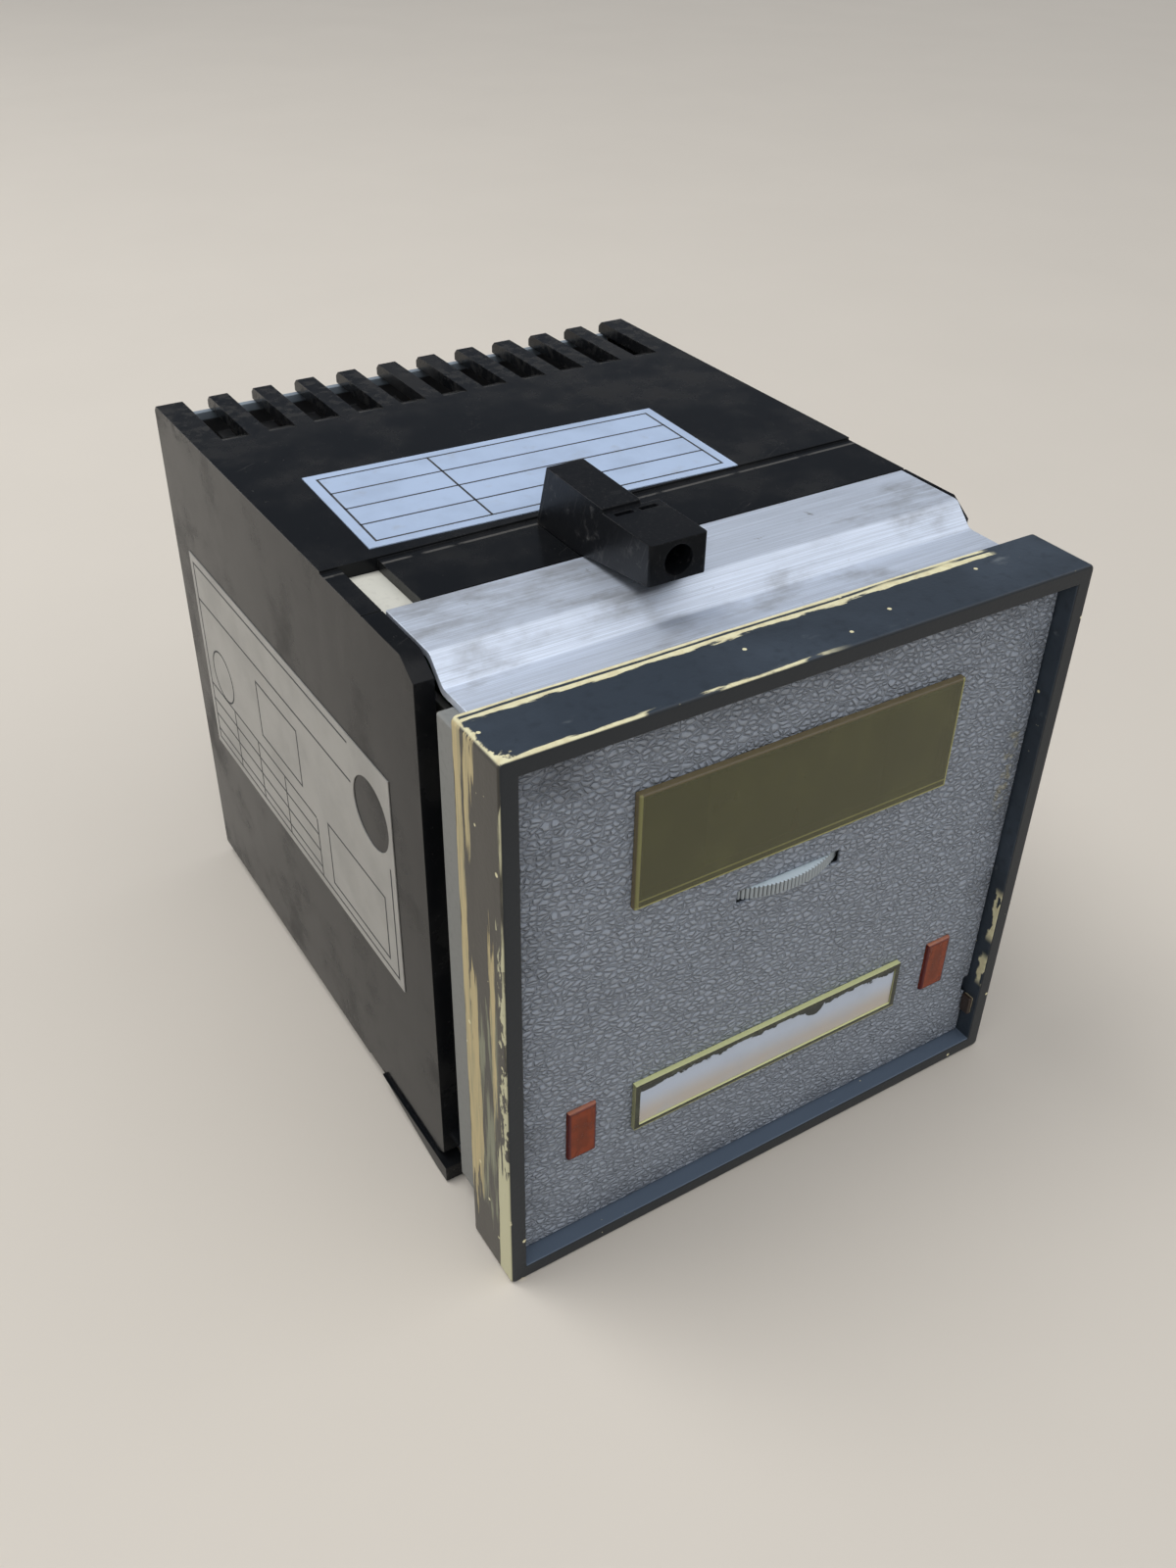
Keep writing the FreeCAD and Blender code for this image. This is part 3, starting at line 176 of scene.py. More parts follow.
class BandSettings(bpy.types.PropertyGroup):
    edge: size("Edge", "Rounding of the bands' edges", 0.00012)
    bend: size("Bend", "Rounding of the folds", 0.0006)
    metal: colour("Metal", "Aluminium of the two bands", (0.74, 0.80, 0.90))
    stain: colour("Stain", "Brown-grey of the stains", (0.16, 0.145, 0.125))


class ClampSettings(bpy.types.PropertyGroup):
    edge: size("Edge", "Rounding of the clamp's edges", 0.0003)
    moulding: colour("Moulding", "Black of the clamp", (0.006, 0.0066, 0.008))
    scuff: colour("Scuff", "Grey of the scuffs on the clamp", (0.16, 0.155, 0.15))


class LabelSettings(bpy.types.PropertyGroup):
    # Painted reflection and shade: both labels are the same silver foil; the deck's gets blue-white for the sky
    # it mirrors, the side's a darker warm white for shade and the floor it mirrors.
    foil: colour("Foil", "Blue-white foil of the deck's label", (0.46, 0.57, 0.76))
    paper: colour("Paper", "Warmer white of the side label", (0.34, 0.335, 0.315))
    print_colour: colour("Print", "Dark grey of the ruled lines", (0.03, 0.032, 0.036))
    line: size("Line", "Width of a ruled line", 0.00035)
    inset: size("Inset", "Distance of the border from the side label's edge", 0.0014)
    hole_place: size("Hole place", "Distance of the hole's centre from the label's front edge", 0.0072)
    hole_drop: size("Hole drop", "Distance of the hole's centre from the label's top edge", 0.0098)
    hole_reach: size("Hole reach", "Radius about the hole that stays clear of print", 0.0068)
    ring_place: size("Ring place", "Place of the printed ring along the sleeve", 0.0444)
    ring_height: size("Ring height", "Height of the printed ring's centre", 0.051)
    ring_radius: size("Ring radius", "Radius of the printed ring", 0.0047)
    print_height: size("Print height", "How far the print stands on the foil", 0.00002)


class TerminalSettings(bpy.types.PropertyGroup):
    edge: size("Edge", "Rounding of the blocks' edges", 0.00025)
    block: colour("Block", "Pale blue-grey of the terminal blocks' outer edges", (0.26, 0.31, 0.36))
    block_dark: colour("Block inside", "Near black of the rest of the terminal blocks", (0.02, 0.021, 0.023))
    brass: colour("Brass", "Brass of the terminals", (0.62, 0.42, 0.16))
    screw: colour("Screw", "Nickelled steel of the screws", (0.58, 0.58, 0.58))
    guide: colour("Guide", "Cream of the card guides and skids", (0.62, 0.61, 0.54))


class ChassisSettings(bpy.types.PropertyGroup):
    edge: size("Edge", "Rounding of the sheet metal's edges", 0.0002)
    zinc: colour("Zinc", "Plated sheet of the tray and bracket", (0.46, 0.46, 0.44))
    board: colour("Board", "Green of the circuit boards", (0.03, 0.13, 0.045))
    iron: colour("Iron", "Varnished laminations of the transformer", (0.07, 0.07, 0.075))
    tape: colour("Tape", "Amber tape of the coil", (0.52, 0.33, 0.07))


class StageSettings(bpy.types.PropertyGroup):
    floor: colour("Floor", "Pale warm grey of the floor", (0.63, 0.58, 0.51))
    key_power: power("Key light", "Power of the lamp overhead", 4.6)
    back_power: power("Back light", "Power of the lamp behind", 3.0)
    ahead: colour("Ahead", "Light that comes from ahead and above", (0.85, 0.86, 0.88))
    behind: colour("Behind", "Dim cool light high up behind", (0.088, 0.100, 0.120))
    horizon: colour("Horizon", "Pale light just over the floor", (0.60, 0.585, 0.555))
    gain: FloatProperty(name="Gain", description="Strength of the light from around", default=1.38, min=0)


# ---------------------------------------------------------------- materials
class Value:
    """What a node puts out. Its arithmetic adds nodes, and first | second is the larger of the two."""

    def __init__(self, finish, socket):
        self.finish = finish
        self.socket = socket

    def __add__(self, other):
        return self.finish.calc("ADD", self, other)

    def __sub__(self, other):
        return self.finish.calc("SUBTRACT", self, other)

    def __rsub__(self, other):
        return self.finish.calc("SUBTRACT", other, self)

    def __mul__(self, other):
        return self.finish.calc("MULTIPLY", self, other)

    def __truediv__(self, other):
        return self.finish.calc("DIVIDE", self, other)

    def __pow__(self, other):
        return self.finish.calc("POWER", self, other)

    def __or__(self, other):
        return self.finish.calc("MAXIMUM", self, other)

    def __abs__(self):
        return self.finish.calc("ABSOLUTE", self)

    def ramp(self, low, high):
        """0 up to low, 1 from high on, and a smooth step between; a low above high runs the other way."""
        limits = (low, high, 0.0, 1.0) if low < high else (high, low, 1.0, 0.0)
        inputs = dict(zip(("From Min", "From Max", "To Min", "To Max"), limits), Value=self)
        return self.finish.node("MapRange", "Result", inputs, interpolation_type="SMOOTHSTEP")

    def level(self, first, second):
        """The first number where this is 0, the second where it is 1."""
        return self.finish.node("MapRange", "Result", {"Value": self, "To Min": first, "To Max": second})


class Finish:
    """A material in the making: each call adds nodes and hands back what they put out."""

    def __init__(self, name, base, roughness, metallic=0.0, specular=0.5):
        self.material = bpy.data.materials.new(name)
        self.open(self.material, "Principled BSDF", "Object")
        self.set("Base Color", base)
        self.set("Roughness", roughness)
        self.set("Metallic", metallic)
        self.set("Specular IOR Level", specular)

    def open(self, owner, shader, coordinates):
        """Takes up the node tree of a material or a world."""
        owner.use_nodes = True
        self.tree = owner.node_tree
        self.shader = self.tree.nodes[shader]
        self.place = self.node("TexCoord", coordinates)
        self.normal = None

    def node(self, kind, output=0, inputs=(), **choices):
        """Adds a node, sets its choices, feeds its inputs and hands back one of its outputs."""
        node = self.tree.nodes.new(f"ShaderNode{kind}")
        for name, choice in choices.items():
            setattr(node, name, choice)
        for name, value in dict(inputs).items():
            self.feed(node.inputs[name], value)
        return Value(self, node.outputs[output])

    def set(self, name, value):
        """Feeds one of the shader's sockets."""
        self.feed(self.shader.inputs[name], value)

    def feed(self, socket, value):
        """Gives a socket a value, a number, a vector or a colour, which gains an alpha where it has none."""
        if isinstance(value, Value):
            self.tree.links.new(value.socket, socket)
        elif isinstance(value, (int, float)):
            socket.default_value = value
        else:
            parts = tuple(value)
            socket.default_value = parts + (1.0,) * (len(socket.default_value) - len(parts))

    def colour(self):
        """The colour that the shader has so far."""
        return Value(self, self.shader.inputs["Base Color"].links[0].from_socket)

    def mapped(self, grain, stretch=(1, 1, 1), shift=(0, 0, 0), turn=(0, 0, 0), source=None):
        """Coordinates scaled so that one unit is a grain, stretched, moved and turned."""
        return self.node("Mapping", vector_type="TEXTURE", inputs={
            "Vector": source or self.place,
            "Location": shift,
            "Rotation": [math.radians(angle) for angle in turn],
            "Scale": [grain * factor for factor in stretch],
        })

    def noise(self, grain, detail=4.0, roughness=0.55, output="Fac", **mapping):
        """Cloudy noise whose lumps are about one grain across."""
        place = self.mapped(grain, **mapping)
        inputs = {"Vector": place, "Scale": 1.0, "Detail": detail, "Roughness": roughness}
        return self.node("TexNoise", output, inputs)

    def bent_place(self, grain, reach):
        """Coordinates pushed about by noise, which makes cells on them irregular."""
        push = self.noise(grain, detail=2.0, roughness=0.5, output="Color")
        return self.node("VectorMath", 0, {0: push, 1: (reach,) * 3, 2: self.place}, operation="MULTIPLY_ADD")

    def cells(self, grain, feature="F1", randomness=1.0, flat=False, **mapping):
        """Cells about one grain across; flat cells ignore the third coordinate, so none is cut off centre."""
        inputs = {"Vector": self.mapped(grain, **mapping), "Scale": 1.0, "Randomness": randomness}
        return self.node("TexVoronoi", "Distance", inputs, feature=feature,
                         voronoi_dimensions="2D" if flat else "3D")

    def waves(self, direction, scale, distortion):
        """Bands that follow one another along an axis."""
        inputs = {"Vector": self.mapped(MM), "Scale": scale, "Distortion": distortion}
        return self.node("TexWave", "Fac", inputs, bands_direction=direction)

    def calc(self, operation, first, second=0.0):
        return self.node("Math", 0, {0: first, 1: second}, operation=operation)

    def mix(self, mask, first, second):
        """The first colour where the mask is 0, the second where it is 1."""
        return self.node("Mix", 2, {"Factor": mask, 6: first, 7: second}, data_type="RGBA")

    def axis(self, name):
        return self.node("SeparateXYZ", name, {0: self.place})

    @property
    def x(self):
        return self.axis("X")

    @property
    def y(self):
        return self.axis("Y")

    @property
    def z(self):
        return self.axis("Z")

    def facing(self, name):
        """How far the surface faces along one axis, from -1 to 1."""
        return self.node("SeparateXYZ", name, {0: self.node("NewGeometry", "True Normal")})

    def from_edges(self, low, high):
        """The distance of a point on a box's face from the nearest edge of the box."""
        gaps = []
        for name, start, end in zip("XYZ", low, high):
            gaps.append((end - start) / 2 - abs(self.axis(name) - (start + end) / 2))
        pairs = [gaps[0] | gaps[1], gaps[1] | gaps[2], gaps[0] | gaps[2]]
        return self.calc("MINIMUM", self.calc("MINIMUM", pairs[0], pairs[1]), pairs[2])

    def around(self, middle):
        """The distance from an upright line through a place."""
        across, along = self.x - middle.x, self.y - middle.y
        return self.calc("SQRT", across * across + along * along)

    def span(self, name, low, high, soft=0.0002, ragged=None):
        """1 between two places along an axis, falling to 0 outside; a ragged value moves both edges."""
        value = self.axis(name)
        if ragged:
            value = value + ragged
        return value.ramp(low - soft, low + soft) * value.ramp(high + soft, high - soft)

    def sway(self, grain, reach, **mapping):
        """Noise that runs from minus to plus a reach, to make an edge ragged."""
        return (self.noise(grain, detail=5.0, **mapping) - 0.5) * (2 * reach)

    def streaks(self, width, length, along, share=0.35, seed=0.0, turn=(0, 0, 0)):
        """Thin scratches that run along one axis."""
        stretch = [length / width if name == along else 1.0 for name in "XYZ"]
        lines = self.noise(width, detail=2.0, roughness=0.7, stretch=stretch, shift=(seed,) * 3, turn=turn)
        return lines.ramp(1.0 - share, 1.0 - share * 0.8)

    def bump(self, height, depth):
        """Relief of a given depth, over whatever relief is there already."""
        inputs = {"Height": height, "Distance": depth}
        if self.normal:
            inputs["Normal"] = self.normal
        self.normal = self.node("Bump", "Normal", inputs)
        self.set("Normal", self.normal)

    def done(self):
        return self.material


class Sky(Finish):
    """The light from around: bright ahead and above, pale over the floor, dim high up behind."""

    def __init__(self, name, settings):
        self.world = bpy.data.worlds.new(name)
        self.open(self.world, "Background", "Generated")
        toward = self.node("VectorMath", "Value", {0: self.place, 1: SKY_BRIGHTEST}, operation="DOT_PRODUCT")
        bright = toward.ramp(0.34, 0.70) * self.z.ramp(0.22, 0.52)
        dim = self.mix(self.z.ramp(0.30, 0.0), settings.behind, settings.horizon)
        self.set("Color", self.mix(bright, dim, settings.ahead))
        self.set("Strength", settings.gain)


def wear_and_dirt(finish, base, light, dark, grain=0.012):
    """A colour that drifts a little, lighter in patches and darker in others, as on used things."""
    patches = finish.noise(grain, detail=5.0)
    fine = finish.noise(grain / 12, detail=3.0)
    drift = finish.mix(patches.ramp(0.45, 0.7), base, light)
    return finish.mix(fine.ramp(0.5, 0.75) * 0.5, drift, dark)


def tone(base, factor):
    return tuple(min(1.0, part * factor) for part in base)


def blended(first, second, part):
    return tuple(one + (two - one) * part for one, two in zip(first, second))


def moulded(name, base, roughness=0.45, drift=0.25):
    """A plain moulded plastic: slight colour drift, fine spark texture and faint scratches."""
    finish = Finish(name, base, roughness)
    worn = wear_and_dirt(finish, base, blended(base, (0.4, 0.39, 0.37), drift * 0.3), tone(base, 1 - drift))
    finish.set("Base Color", worn)
    spark = finish.noise(0.0004, detail=3.0)
    scratches = finish.streaks(0.00018, 0.012, "X", turn=(0, 0, 37), seed=0.3)
    finish.set("Roughness", finish.noise(0.006, detail=4.0).level(roughness - 0.1, roughness + 0.14))
    finish.bump(spark, 0.00001)
    finish.bump(scratches, -0.000008)
    return finish


def sheet_metal(name, base, roughness=0.35, along="X"):
    """Rolled or brushed metal with its lines along one axis, handling marks and dull patches."""
    finish = Finish(name, base, roughness, metallic=1.0)
    stretch = [160.0 if name == along else 1.0 for name in "XYZ"]
    lines = finish.noise(0.00012, detail=3.0, roughness=0.7, stretch=stretch)
    patches = finish.noise(0.009, detail=5.0)
    shade = finish.mix(lines.ramp(0.3, 0.7), tone(base, 0.82), tone(base, 1.12))
    finish.set("Base Color", finish.mix(patches.ramp(0.5, 0.75), shade, tone(base, 0.72)))
    finish.set("Roughness", patches.level(roughness - 0.1, roughness + 0.2))
    finish.bump(lines, 0.000012)
    return finish


# ---------------------------------------------------------------- meshes
def mesh_of(name, bm, body, slot, material, hides=(), smooth_below=32):
    """Turns a bmesh into a finished piece that rides on a body of the frame."""
    mesh = bpy.data.meshes.new(name)
    bm.to_mesh(mesh)
    bm.free()
    for face in mesh.polygons:
        face.use_smooth = True
    mesh.set_sharp_from_angle(angle=math.radians(smooth_below))
    piece = bpy.data.objects.new(name, mesh)
    bpy.context.scene.collection.objects.link(piece)
    mesh.materials.append(material)
    weighted = piece.modifiers.new("Even shading", "WEIGHTED_NORMAL")
    weighted.keep_sharp = True
    weighted.weight = 80
    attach(piece, body)
    if hides:
        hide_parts(*hides)
    return piece


def node_bmesh(node):
    """A copy of a node's mesh with its loose triangles joined and its flat faces made whole."""
    bm = bmesh.new()
    bm.from_mesh(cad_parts[node].data)
    bmesh.ops.remove_doubles(bm, verts=bm.verts, dist=MERGE_DISTANCE)
    bmesh.ops.dissolve_limit(bm, angle_limit=FLAT_ANGLE, verts=bm.verts, edges=bm.edges,
                             use_dissolve_boundaries=False)
    return bm


def soften(bm, width, least_angle=40, segments=2):
    """Rounds every edge sharper than an angle."""
    sharp = []
    for edge in bm.edges:
        if len(edge.link_faces) == 2 and edge.calc_face_angle(0.0) > math.radians(least_angle):
            sharp.append(edge)
    bmesh.ops.bevel(bm, geom=sharp, offset=width, offset_type="OFFSET", affect="EDGES", segments=segments,
                    profile=0.5, material=-1, clamp_overlap=True)


def dressed(node, body, slot, material, edge, least_angle=40, segments=2):
    """A node's own shape with rounded edges, shown in the node's place."""
    bm = node_bmesh(node)
    soften(bm, edge, least_angle, segments)
    return mesh_of(f"{node}_piece", bm, body, slot, material, hides=(node,))


def add_block(bm, low, high):
    """A box between two corners."""
    made = bmesh.ops.create_cube(bm, size=1.0)
    middle = (Vector(low) + Vector(high)) / 2
    span = Vector(high) - Vector(low)
    bmesh.ops.scale(bm, vec=span, verts=made["verts"])
    bmesh.ops.translate(bm, vec=middle, verts=made["verts"])
    return made["verts"]


def add_rod(bm, radius, length, middle, axis="Z", sides=24, nose=None):
    """A rod along an axis, tapered where a nose radius is given."""
    made = bmesh.ops.create_cone(bm, cap_ends=True, cap_tris=False, segments=sides, radius1=radius,
                                 radius2=radius if nose is None else nose, depth=length)
    turns = {"X": Euler((0, math.pi / 2, 0)), "Y": Euler((-math.pi / 2, 0, 0)), "Z": Euler((0, 0, 0))}
    bmesh.ops.rotate(bm, cent=(0, 0, 0), matrix=turns[axis].to_matrix(), verts=made["verts"])
    bmesh.ops.translate(bm, vec=middle, verts=made["verts"])
    return made["verts"]


# ---------------------------------------------------------------- bezel, collar and bands
class BezelOperator(bpy.types.Operator):
    """Build the painted bezel and the collar behind it"""

    bl_idname = "controller.bezel"
    bl_label = "Bezel and collar"

    def execute(self, context):
        settings = context.scene.controller_bezel
        low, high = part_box("bezel_frame")
        dressed("bezel_frame", "chassis", "bezel_paint", bezel_paint(settings, low, high), settings.edge)
        dressed("cutout_collar", "chassis", "collar_grey",
                moulded("Collar grey", settings.collar, 0.55).done(), settings.edge)
        return {"FINISHED"}


def bezel_paint(settings, low, high):
    """Slate paint over a cream base, gone along the top's long edges and in streaks down the left side, with
    painted shade on the faces that look ahead and a painted sky reflection on the ledge below the panel.
    """
    finish = Finish("Bezel paint", settings.paint, 0.4, specular=0.22)
    up = finish.facing("Z").ramp(0.5, 0.8)
    left = finish.facing("X").ramp(-0.5, -0.8)
    outer_left = left * finish.x.ramp(low.x + 0.001, low.x + 0.0005)
    tan, green, cream = left_rubs(finish, low, high)
    lips = top_rubs(finish, low, high, up)
    flakes = (edge_flakes(finish, low, high) * (settings.wear * 2) | inner_rub(finish, low, high)
              | paint_specks(finish) | lips)
    paint = wear_and_dirt(finish, settings.paint, tone(settings.paint, 1.4), tone(settings.paint, 0.7), 0.02)
    smears = finish.noise(0.003, detail=6.0, stretch=(2.5, 1, 1), shift=(0.7, 0.2, 0)).ramp(0.64, 0.8)
    paint = finish.mix(smears * 0.3, paint, (0.30, 0.33, 0.34))
    # Painted shade: faces that look ahead are painted darker, towards a near black grey.
    ahead = finish.facing("Y").ramp(-0.5, -0.8)
    paint = finish.mix(ahead, paint, blended(tone(settings.paint, 0.62), (0.026, 0.026, 0.024), 0.4))
    # Painted reflection: the up-facing ledge below the panel is painted a lighter blue-grey for the sky it
    # mirrors, with pale scuffs where the smears lie.
    ledge = up * finish.z.ramp(low.z + 0.008, low.z + 0.006)
    paint = finish.mix(ledge, paint, finish.mix(smears.ramp(0.1, 0.6), settings.ledge, (0.5, 0.56, 0.62)))
    uneven = finish.noise(0.002, detail=5.0, stretch=(1, 1, 9))
    worn = finish.mix(uneven, settings.worn, tone(settings.worn, 1.7))
    scraped = finish.noise(0.0007, detail=6.0, roughness=0.7, stretch=(1, 1, 22)).ramp(0.42, 0.68)
    faced = finish.mix(outer_left, paint, worn)
    faced = finish.mix(green * outer_left, faced, settings.smear)
    faced = finish.mix(cream * outer_left, faced, blended(settings.base, settings.smear, 0.4))
    dull = blended(settings.smear, settings.worn, 0.3)
    scoured = finish.mix(scraped * 0.6, settings.rubbed, dull)
    faced = finish.mix(tan * outer_left, faced, scoured)
    dirty = finish.noise(0.0011, detail=5.0).ramp(0.35, 0.75)
    base = finish.mix(dirty * 0.5, settings.base, settings.rubbed)
    finish.set("Base Color", finish.mix(flakes, faced, base))
    bare = flakes | (tan | green | cream) * outer_left
    finish.set("Roughness", bare.level(0.32, 0.65))
    finish.bump(bare, -0.00006)
    finish.bump(finish.noise(0.0007, detail=3.0), 0.00002)
    return finish.done()


def edge_flakes(finish, low, high):
    """Small chips along the box's edges."""
    ragged = finish.noise(0.0045, detail=6.0, roughness=0.65).ramp(0.56, 0.9)
    reach = finish.from_edges(low, high) - ragged * 0.0013
    return reach.ramp(0.00005, -0.0002)


def top_rubs(finish, low, high, up):
    """Bare lines along the top: two along the rear edge with a crack between, one along the front edge."""
    along = {"stretch": (5.0, 1.0, 1.0)}
    right_end = (finish.x + finish.sway(0.004, 0.004)).ramp(high.x - 0.009, high.x - 0.011)
    rear = finish.span("Y", high.y - 0.0021, high.y + 0.001, 0.0001, finish.sway(0.0012, 0.0011, **along))
    wander = finish.sway(0.005, 0.0007, **along)
    crack = (finish.span("Y", high.y - 0.0012, high.y - 0.0007, 0.0001, wander)
             * finish.noise(0.006, detail=3.0, shift=(0.2, 0, 0), **along).ramp(0.34, 0.44))
    rear = rear * (1.0 - crack) * right_end
    front_gaps = finish.noise(0.003, detail=5.0, shift=(0.3, 0, 0), **along).ramp(0.40, 0.46)
    front = ((finish.y + finish.sway(0.0012, 0.0009, **along)).ramp(low.y + 0.0008, low.y + 0.0005)
             * finish.x.ramp(0.004, -0.004) * front_gaps)
    corner = finish.x - low.x + (finish.y - low.y)
    corner = (corner + finish.sway(0.0016, 0.004)).ramp(0.0034, 0.0028)
    side = (finish.x + finish.sway(0.0022, 0.0012, shift=(0, 0.4, 0))).ramp(low.x + 0.0006, low.x + 0.0003)
    top = finish.z.ramp(high.z - 0.002, high.z - 0.0015)
    return (rear | front | corner | side) * up * top


def left_rubs(finish, low, high):
    """Masks of the left side's bare streaks: tan stripes, grey-green smears, and cream near the front edge."""
    upright = {"stretch": (1.0, 1.0, 14.0)}
    tall = high.z - low.z
    depth = high.y - finish.y
    drop = (high.z - finish.z) / tall
    bent = depth + finish.sway(0.0011, 0.0008, **upright) + finish.sway(0.0004, 0.0005, **upright)
    frayed = drop + finish.sway(0.0008, 0.16, **upright)

    def patch(start, end, top, bottom, soft=0.00015):
        across = bent.ramp(start - soft, start + soft) * bent.ramp(end + soft, end - soft)
        down = frayed.ramp(top - 0.01, top + 0.01) * frayed.ramp(bottom + 0.01, bottom - 0.01)
        return across * down

    tan = (patch(0.0002, 0.0020, -0.2, 0.87) | patch(0.0015, 0.0040, 0.40, 0.86)
           | patch(0.0028, 0.0040, 0.05, 0.18) | patch(0.0030, 0.0055, 0.0, 0.06)
           | patch(0.0078, 0.0088, 0.30, 0.64))
    holes = finish.noise(0.0011, detail=4.0, shift=(0, 0.3, 0), **upright).ramp(0.27, 0.33)
    streaks = finish.noise(0.0010, detail=5.0, shift=(0.013, 0.002, 0.007), **upright).ramp(0.44, 0.60)
    green = patch(0.0034, 0.0092, 0.44, 0.88, 0.0008) * streaks
    flecks = finish.noise(0.0011, detail=4.0, stretch=(1, 1, 2.2)).ramp(0.50, 0.55)
    cream = (patch(0.0098, 0.0125, 0.28, 0.80) * flecks | patch(0.0082, 0.0125, 0.74, 1.2) * holes
             | patch(0.0111, 0.0125, 0.08, 0.6) * streaks)
    return tan * holes, green * 0.75, cream


def inner_rub(finish, low, high):
    """A flaked streak low down on the right inner wall of the rim."""
    place = (finish.facing("X").ramp(-0.5, -0.8) * finish.x.ramp(high.x - 0.006, high.x - 0.005)
             * (finish.y + finish.sway(0.0012, 0.0009)).ramp(low.y + 0.0016, low.y + 0.0012))
    tall = (finish.span("Z", low.z + 0.026, low.z + 0.036, 0.001)
            | finish.span("Z", low.z + 0.016, low.z + 0.022, 0.001))
    return place * tall * finish.noise(0.0016, detail=4.0, stretch=(1, 1, 3)).ramp(0.44, 0.50)


def paint_specks(finish):
    """Small round chips, far apart."""
    dots = finish.cells(0.0046).ramp(0.085, 0.065)
    fine = finish.noise(0.0012, detail=2.0, shift=(0.4, 0.1, 0.2)).ramp(0.77, 0.79)
    return dots | fine


class BandOperator(bpy.types.Operator):
    """Build the bent aluminium bands above and below the collar"""

    bl_idname = "controller.bands"
    bl_label = "Aluminium bands"

    def execute(self, context):
        settings = context.scene.controller_band
        metal = band_metal(settings)
        for side in ("top", "bottom"):
            node = f"chassis_band_{side}"
            bm = node_bmesh(node)
            round_bends(bm, settings.bend)
            soften(bm, settings.edge, least_angle=60)
            mesh_of(f"{node}_piece", bm, "chassis", "band_aluminium", metal, hides=(node,), smooth_below=50)
        return {"FINISHED"}


def round_bends(bm, radius):
    """Rounds the folds of a bent strip, which are blunter than its edges."""
    folds = []
    for edge in bm.edges:
        if len(edge.link_faces) == 2 and 30 < math.degrees(edge.calc_face_angle(0.0)) < 60:
            folds.append(edge)
    if folds:
        bmesh.ops.bevel(bm, geom=folds, offset=radius, offset_type="OFFSET", affect="EDGES", segments=4,
                        profile=0.5, material=-1, clamp_overlap=True)


def band_metal(settings):
    """Aluminium brushed across, with fine scratches, dull blotches and a few dark stains."""
    finish = Finish("Band aluminium", settings.metal, 0.4, metallic=1.0)
    lines = finish.noise(0.00011, detail=3.0, roughness=0.7, stretch=(220.0, 1.0, 1.0))
    broad = finish.noise(0.0006, detail=3.0, roughness=0.6, stretch=(60.0, 1.0, 1.0), shift=(0.2, 0, 0))
    shade = finish.mix(lines.ramp(0.3, 0.7), tone(settings.metal, 0.84), tone(settings.metal, 1.1))
    shade = finish.mix(broad.ramp(0.4, 0.7) * 0.35, shade, tone(settings.metal, 0.72))
    cloud = finish.noise(0.009, detail=6.0, roughness=0.6, stretch=(1.8, 0.8, 1.0), shift=(0.03, 0.0, 0.0))
    dull = cloud.ramp(0.46, 0.72) * 0.5
    spots = finish.noise(0.0022, detail=4.0, shift=(0.9, 0.3, 0)).ramp(0.68, 0.8)
    stained = dull | spots * 0.6
    finish.set("Base Color", finish.mix(stained, shade, settings.stain))
    finish.set("Roughness", cloud.level(0.56, 0.70))
    finish.bump(lines, 0.000006)
    finish.bump(finish.streaks(0.00012, 0.03, "X", share=0.36, seed=0.7), -0.00001)
    return finish.done()


# ---------------------------------------------------------------- sleeve
class SleeveOperator(bpy.types.Operator):
    """Build the moulded sleeve with its comb, feet and notch"""

    bl_idname = "controller.sleeve"
    bl_label = "Sleeve"

    def execute(self, context):
        settings = context.scene.controller_sleeve
        low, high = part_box("case_sleeve")
        dressed("case_sleeve", "sleeve", "sleeve_plastic", sleeve_moulding(settings, low, high), settings.edge)
        dressed("rear_panel", "sleeve", "case_black",
                moulded("Inner panel black", (0.010, 0.010, 0.011), 0.5, drift=0.08).done(), settings.edge)
        return {"FINISHED"}


